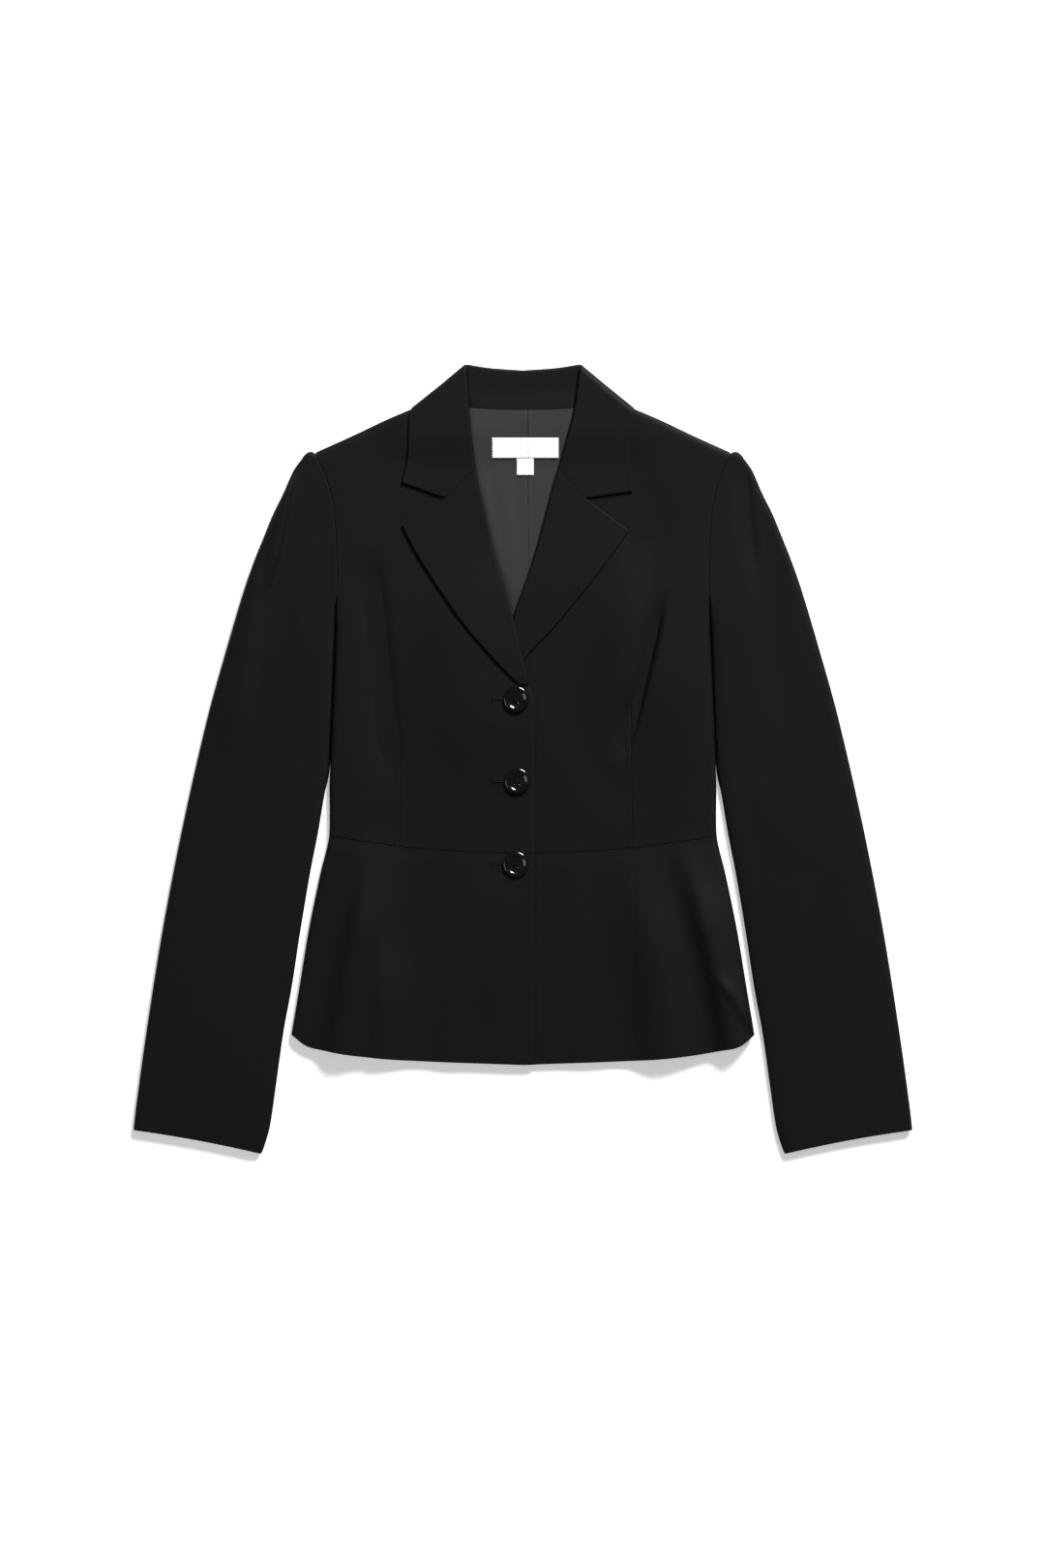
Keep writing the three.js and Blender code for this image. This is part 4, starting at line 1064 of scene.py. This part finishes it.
def collar_stand():
    """The stand inside the neck, seen between the two roll lines and reaching under them."""
    ends = neck_y(NECK_CORNER) - SEAM, COLLAR_TOP_Y - DOUBLE / 2
    left = up_edge(*ends, lambda y: roll_x(-1, y) - STAND_REACH)
    right = up_edge(*ends, lambda y: roll_x(1, y) + STAND_REACH)
    edges = framed(left, right, lambda x: neck_y(x) - SEAM, collar_top_middle_y)
    on_lining = lambda x, y: lining_level(x, y) + (LINING - DOUBLE) / 2
    level = lambda x, y: mix(on_lining(x, y), STAND_LEVEL, ease(y, 318, 332))
    meet = lambda x, y: level(x, y) - (STAND_LEVEL - FALL_LEVEL) / 2 - GAP / 2
    u = spread(STAND_WIDTH, 2)
    v = spread(STAND_HEIGHT, 1.8, (1.5, 0.4), (1.5, 0.3))
    turns = [Turn("top", STAND_TURN, meet)]
    return wall(edges, level, DOUBLE, u, v, turns, plain=[("bottom", full)])


collar = joined([collar_wing(-1), collar_wing(1), collar_fall(), collar_stand()])
cloth_piece("collar", collar, (0.36, 0.085))

# %% [markdown]
# ## The sleeves
#
# A tailored sleeve has an upper and an under piece. Laid flat, the upper one lies on the under one
# and both turn into each other along the two edges. The head is sewn into the armhole with a
# little fullness, which stands up as a soft roll beside the seam.

# %% Sleeves
ARMHOLE_OVERLAP = 0.5
SIDE_GAP = 2
TUCK = 2.2
INNER_TURN = 9
SLEEVE_WIDTH = 110
SLEEVE_LENGTH = 615
UPPER_STEP = 2.2
UNDER_STEP = 6
CAP = {"y": 271.5, "inner_y": 273.6, "bulge": 3.4, "turn": 4}
CUFF = {"inner_y": -354.8, "outer_y": -333.6, "hook": 6}


def sleeve_inner_x(y):
    """The armhole seam above, the free inner edge of the sleeve below."""
    opening = SIDE_GAP * ease(y, UNDERARM_Y + 24, UNDERARM_Y + 6)
    at_armhole = body_edge_x(y) - ARMHOLE_OVERLAP + opening
    return mix(at_armhole, sleeve_lower_x(y), ease(y, 20, -10))


def tucked(y):
    """Where the under sleeve reaches in below the side of the body."""
    return ease(y, 150, 130) * ease(y, -30, -10)


def inward(edge, distance):
    """An edge moved sideways by a distance, to the left of the way it runs."""
    def moved(t):
        step = 1e-3
        dx, dy = edge(np.minimum(1, t + step)) - edge(np.maximum(0, t - step))
        return edge(t) + np.array([-dy, dx]) / np.hypot(dx, dy) * distance

    return moved


def bowed(a, b, bulge):
    """A straight edge from a to b that bulges up by a curve of its share."""
    return lambda u: np.array([mix(a[0], b[0], u), mix(a[1], b[1], u) + bulge(u)])


def sleeve(side, upper):
    """The upper or the under piece of one sleeve, from the cuff to the cap."""
    tuck = (lambda y: 0) if upper else tucked
    inner_x = lambda y: side * (sleeve_inner_x(y) + CLOTH / 2 * below_arm(y) - TUCK * tuck(y))
    inner = up_edge(CUFF["inner_y"], CAP["inner_y"], inner_x)
    outline = up_edge(CUFF["outer_y"], CAP["y"], lambda y: side * sleeve_outer_x(y))
    outer = inward(outline, side * CLOTH / 2)
    edges = Edges(
        inner, outer,
        bowed(inner(0.0), outer(0.0), lambda u: CUFF["hook"] * u * (1 - u)),
        bowed(inner(1.0), outer(1.0), lambda u: CAP["bulge"] * np.sin(np.pi * u)),
    )

    def side_turn(v):
        y = inner(v)[1]
        return below_arm(y) * (1 - tuck(y))

    high = sleeve_level(side)
    meet = between(table_level, high, 1 if upper else -1)
    turns = [
        Turn("left", INNER_TURN, meet, side_turn),
        Turn("right", SIDE_TURN, meet),
        Turn("top", CAP["turn"], meet),
    ]
    step = UPPER_STEP if upper else UNDER_STEP
    u = spread(SLEEVE_WIDTH, step, (4, 0.6), (4, 0.6))
    v = spread(SLEEVE_LENGTH, 1.1 * step, (2, 0.5), (4, 0.6))
    sunk = [("left", 0.25, SEAM_WIDTH)] if upper else []
    return wall(edges, high if upper else table_level, CLOTH, u, v, turns, sunk)


SLEEVE_CUT = (0.135, 0.64)
for side, word in SIDES.items():
    cloth_piece(f"sleeve_{word}_under", sleeve(side, False), SLEEVE_CUT)
    cloth_piece(f"sleeve_{word}_upper", sleeve(side, True), SLEEVE_CUT)

# %% [markdown]
# ## Label and tab
#
# A woven ribbon label with a folded tab is sewn on the lining below the neck. Both are blank.

# %% Label and tab
LABEL_STEP = 0.7
Box = namedtuple("Box", "x1 x2 y1 y2")
LABEL_BOX = Box(-27.8, 32, 270.8, 289)
TAB_BOX = Box(-5.6, 9.6, 255.5, 270.4)


def patch(box):
    """A flat woven piece laid on the lining."""
    x1, x2, y1, y2 = box
    edges = Edges(
        through([(x1, y1), (x1, y2)]), through([(x2, y1), (x2, y2)]),
        through([(x1, y1), (x2, y1)]), through([(x1, y2), (x2, y2)]),
    )
    level = lambda x, y: lining_level(x, y) + (LINING + LABEL) / 2 + GAP
    return wall(edges, level, LABEL, spread(x2 - x1, LABEL_STEP), spread(y2 - y1, LABEL_STEP))


cloth_piece("label", patch(LABEL_BOX), (0.06, 0.0185), "label")
cloth_piece("size_tab", patch(TAB_BOX), (0.0155, 0.0155), "label")

# %% [markdown]
# ## Buttons
#
# The buttons are turned from resin rod: a dished face inside a rounded rim, with four drilled
# holes. So the shape is a profile turned round an axis, with four cylinders cut out of it.

# %% Buttons
BUTTONS = {"button_top": (-6, 54), "button_middle": (-5, -19.5), "button_bottom": (-6.3, -94.4)}
BUTTON_RADIUS = 11.5
FACE = 1.75
HOLE = {"radius": 1.05, "offset": 2.1, "length": 20, "sides": 28}
face_z = graph([
    (0, 1.7), (5, 1.72), (6.6, 1.9), (7.7, 2.35), (8.6, 2.8), (9.4, 2.98), (10.2, 2.88), (10.9, 2.55),
    (11.35, 2.1), (BUTTON_RADIUS, 1.7),
])
back_z = graph([(0, 0), (8.4, 0.02), (10, 0.25), (10.9, 0.7), (11.35, 1.25), (BUTTON_RADIUS, 1.7)])


def turned_solid(radii, heights, count):
    """A profile from axis to axis turned round: rings of points and one pole at either end."""
    angle = np.linspace(0, 2 * np.pi, count, endpoint=False)
    r = radii[1:-1, None]
    z = np.broadcast_to(heights[1:-1, None], (len(r), count))
    rings = np.stack([r * np.cos(angle), r * np.sin(angle), z], -1).reshape(-1, 3)
    vertices = np.concatenate([[[0, 0, heights[0]]], rings, [[0, 0, heights[-1]]]])
    i = 1 + np.arange(len(rings)).reshape(-1, count)
    j = np.roll(i, -1, axis=1)
    sides = quads(i[:-1], j[:-1], j[1:], i[1:])
    pole = np.zeros(count, int)
    below = np.stack([pole, j[0], i[0]], -1)
    above = np.stack([pole + len(vertices) - 1, i[-1], j[-1]], -1)
    return vertices, sides.tolist() + below.tolist() + above.tolist()


def button_solid():
    """The turned button, from the middle of its back to the middle of its face."""
    out = BUTTON_RADIUS * np.sin(np.linspace(0, np.pi / 2, 26))
    radii = np.concatenate([out, out[-2::-1]])
    heights = np.concatenate([back_z(out), face_z(out[-2::-1])])
    return turned_solid(radii, heights, 96)


def drill(piece, x, y, z):
    """Cuts four holes through a button at a place."""
    holes = []
    for sx in (-1, 1):
        for sy in (-1, 1):
            place = (x + sx * HOLE["offset"], y + sy * HOLE["offset"] - CENTRE_Y, z)
            bpy.ops.mesh.primitive_cylinder_add(
                vertices=HOLE["sides"], radius=HOLE["radius"] * MM, depth=HOLE["length"] * MM,
                location=[value * MM for value in place],
            )
            cut = piece.modifiers.new("hole", "BOOLEAN")
            cut.operation = "DIFFERENCE"
            cut.solver = "EXACT"
            cut.object = bpy.context.object
            holes.append(cut.object)
    cut_piece = piece.evaluated_get(bpy.context.evaluated_depsgraph_get())
    mesh = bpy.data.meshes.new_from_object(cut_piece)
    piece.modifiers.clear()
    piece.data = mesh
    for hole in holes:
        bpy.data.objects.remove(hole)


BUTTON_PLACES = []
for name, (x, y) in BUTTONS.items():
    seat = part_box(name)[0].z / MM
    vertices, faces = button_solid()
    piece = new_piece(name + "_resin", vertices + np.array([x, y, seat]), faces, resin)
    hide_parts(name)
    drill(piece, x, y, seat)
    BUTTON_PLACES.append((x, y, seat))
    print(name, "seat", round(seat, 2), "mm,", len(piece.data.polygons), "faces")

# %% [markdown]
# ## Thread
#
# Sewing thread holds what is sewn on: a cross through each button, the purl stitches round each
# buttonhole with a bar across its end, and a few stitches at the label. A row of black stitches
# along the label's top edge is painted shadow: it stands in for the thin shadow line there.

# %% Thread as thin tubes
def tube(path, radius, sides=8, closed=False):
    """Rings round a path: each one square to the path, with its up direction close to +Z."""
    path = np.asarray(path, float)
    if closed:
        ahead, behind = np.roll(path, -1, axis=0), np.roll(path, 1, axis=0)
    else:
        ahead = np.concatenate([path[1:], path[-1:]])
        behind = np.concatenate([path[:1], path[:-1]])
    tangent = ahead - behind
    tangent /= np.linalg.norm(tangent, axis=1, keepdims=True)
    beside = np.cross(tangent, np.where(np.abs(tangent[:, 2:]) > 0.95, [[0, 1, 0]], [[0, 0, 1]]))
    beside /= np.linalg.norm(beside, axis=1, keepdims=True)
    up = np.cross(beside, tangent)
    angle = np.linspace(0, 2 * np.pi, sides, endpoint=False)[None, :, None]
    size = np.broadcast_to(radius, len(path))[:, None, None]
    rings = path[:, None] + size * (np.cos(angle) * beside[:, None] + np.sin(angle) * up[:, None])
    i = np.arange(len(path) * sides).reshape(-1, sides)
    j = np.roll(i, -1, axis=1)
    if closed:
        faces = quads(i, j, np.roll(j, -1, 0), np.roll(i, -1, 0)).tolist()
    else:
        faces = quads(i[:-1], j[:-1], j[1:], i[1:]).tolist()
        faces += [i[0][::-1].tolist(), i[-1].tolist()]
    return rings.reshape(-1, 3), faces


def threads(name, tubes, material):
    """Several tubes as one piece."""
    vertices, faces, start = [], [], 0
    for points, quads in tubes:
        vertices.append(points)
        faces += [[k + start for k in face] for face in quads]
        start += len(points)
    print(name, len(tubes), "threads,", len(faces), "faces")
    return new_piece(name, np.concatenate(vertices), faces, material)


# %% Thread cross in each button
STRAND = {"radius": 0.3, "beside": 0.196, "from": 0.5, "over_face": 0.35, "layer": 0.35}


def strand(start, end, low, high):
    """A strand that comes up through one hole, over the face and down through another."""
    t = np.linspace(0, 1, 15)
    across = ease(t, 1 / 12, 11 / 12)
    z = low + (high - low) * np.sin(np.pi * t) ** 0.35
    return np.stack([mix(start[0], end[0], across), mix(start[1], end[1], across), z], -1)


button_tubes = []
for x, y, seat in BUTTON_PLACES:
    o = HOLE["offset"]
    for slant, layer in ((1, 0), (-1, STRAND["layer"])):
        for beside in (-STRAND["beside"], STRAND["beside"]):
            start = (x - o * slant + beside, y - o - beside * slant)
            end = (x + o * slant + beside, y + o - beside * slant)
            high = seat + FACE + STRAND["over_face"] + layer
            button_tubes.append(tube(strand(start, end, seat + STRAND["from"], high), STRAND["radius"]))
threads("button_threads", button_tubes, thread)

# %% Buttonholes
Loop = namedtuple("Loop", "from_x to_x half_height radius stitch ripple above")
Bar = namedtuple("Bar", "half_length beyond radius stitch ripple above")
LOOP = Loop(-3.5, -27, 0.62, 0.55, 0.8, 0.16, 0.1)
BAR = Bar(2.5, 0.4, 0.6, 0.6, 0.14, 0.25)
POINTS_PER_STITCH = 5


def on_front(x, y, above):
    """Points lying on the right front."""
    return np.stack([x, y, front_level(-1)(x, y) + CLOTH / 2 + above], -1)


def rippled(row, along):
    """The radius of a thread that swells at each stitch."""
    return row.radius * (1 + row.ripple * np.cos(2 * np.pi * along / row.stitch))


def buttonhole(y0):
    """Purl stitches: a rippled tube round a long narrow loop, and a bar across its outer end."""
    count = int((LOOP.from_x - LOOP.to_x) / LOOP.stitch * POINTS_PER_STITCH)
    there = np.linspace(LOOP.to_x, LOOP.from_x, count)
    turn = np.linspace(-np.pi / 2, np.pi / 2, 8)[1:-1]
    h = LOOP.half_height
    x = np.concatenate([
        there, LOOP.from_x + h * np.cos(turn), there[::-1], LOOP.to_x - h * np.cos(turn),
    ])
    y = y0 + np.concatenate([
        np.full(count, -h), h * np.sin(turn), np.full(count, h), -h * np.sin(turn),
    ])
    bar_y = np.linspace(y0 - BAR.half_length, y0 + BAR.half_length, 30)
    bar_x = np.full(bar_y.shape, LOOP.to_x - BAR.beyond)
    return [
        tube(on_front(x, y, LOOP.above), rippled(LOOP, x), closed=True),
        tube(on_front(bar_x, bar_y, BAR.above), rippled(BAR, bar_y)),
    ]


hole_tubes = [part for _, y in BUTTONS.values() for part in buttonhole(y)]
threads("buttonhole_threads", hole_tubes, thread)

# %% Stitches at the label, and black stitches as a painted shadow line along its top edge
Row = namedtuple("Row", "x1 y1 x2 y2 count length")
LABEL_ROWS = [Row(-27, 272.4, -27, 287.5, 7, 1.6), Row(31.2, 272.4, 31.2, 287.5, 7, 1.6)]
SHADOW_AND_TACK_ROWS = [
    # Painted shadow: the first row is black stitches just above the label's top edge, laid where its thin
    # shadow line falls; the other two are the real bar tack on the centre seam.
    Row(-27.4, 289.6, 31.6, 289.6, 22, 1.5),
    Row(3.2, 291.5, 3.2, 304, 6, 1.3),
    Row(5.2, 292.5, 5.2, 303, 5, 1.3),
]
STITCH_RADIUS = 0.22
STITCH_ARCH = 0.15


def stitches(rows, lift):
    """Short straight stitches spread along each row over the lining."""
    made = []
    arch = STITCH_ARCH * np.cos(np.linspace(-1.5, 1.5, 6))
    for row in rows:
        along = np.linspace(-0.5, 0.5, 6) * row.length / math.hypot(row.x2 - row.x1, row.y2 - row.y1)
        for share in np.linspace(0, 1, row.count):
            x = mix(row.x1, row.x2, share + along)
            y = mix(row.y1, row.y2, share + along)
            z = lining_level(x, y) + LINING / 2 + lift + arch
            made.append(tube(np.stack([x, y, z], -1), STITCH_RADIUS))
    return made


threads("label_threads", stitches(LABEL_ROWS, LABEL + GAP), white_thread)
threads("shadow_and_tack_threads", stitches(SHADOW_AND_TACK_ROWS, 0), thread)

# %% [markdown]
# ## Floor, light and camera
#
# The photo is a catalogue picture: an even white ground, soft light from the upper right and a
# camera straight above. A pale floor, one large lamp on the right, a weaker one on the left and a
# pale sky do the same.

# %% Floor
bpy.ops.mesh.primitive_plane_add(size=12, location=(0, 0, -0.0004))
floor = bpy.context.object
floor.name = "floor"
floor_material = new_material(
    "pale floor", Base_Color=linear("#f4f4f4"), Roughness=0.9,
    Emission_Color=(1, 1, 1, 1), Emission_Strength=0.4,
)
floor.data.materials.append(floor_material)
floor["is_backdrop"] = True

# %% Light
def lamp(name, place, size, power):
    """A square lamp at a place in metres, turned to the jacket."""
    light = bpy.data.lights.new(name, "AREA")
    light.size = size
    light.energy = power
    holder = bpy.data.objects.new(name, light)
    bpy.context.scene.collection.objects.link(holder)
    holder.location = place
    aim = -holder.location
    holder.rotation_euler = aim.to_track_quat("-Z", "Y").to_euler()


lamp("key", (1.8, 3.5, 2.4), 1.5, 460)
lamp("fill", (-3.5, -1.0, 3.5), 2.5, 40)
sky = bpy.data.worlds.new("studio")
sky.use_nodes = True
sky.node_tree.nodes["Background"].inputs["Color"].default_value = (1, 1, 1, 1)
sky.node_tree.nodes["Background"].inputs["Strength"].default_value = 0.1
bpy.context.scene.world = sky
bpy.context.scene.view_settings.view_transform = "Standard"

# %% Camera
FRAME_HEIGHT = 1409.4
CAMERA_HEIGHT = 4007
LOOK_DISTANCE = 4000
SENSOR = 36
MIDDLE_OF_VIEW = (-0.4, -22.2)
camera_data = bpy.data.cameras.new("camera")
camera_data.sensor_width = SENSOR
camera_data.lens = SENSOR * LOOK_DISTANCE / FRAME_HEIGHT
camera_data.clip_end = 20
camera = bpy.data.objects.new("camera", camera_data)
view_x, view_y = MIDDLE_OF_VIEW
camera.location = (view_x * MM, (view_y - CENTRE_Y) * MM, CAMERA_HEIGHT * MM)
bpy.context.scene.collection.objects.link(camera)
bpy.context.scene.camera = camera

# %% The bounds of what is shown, and the end
low, high = (list(corner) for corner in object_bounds())
print("visual", low, high)
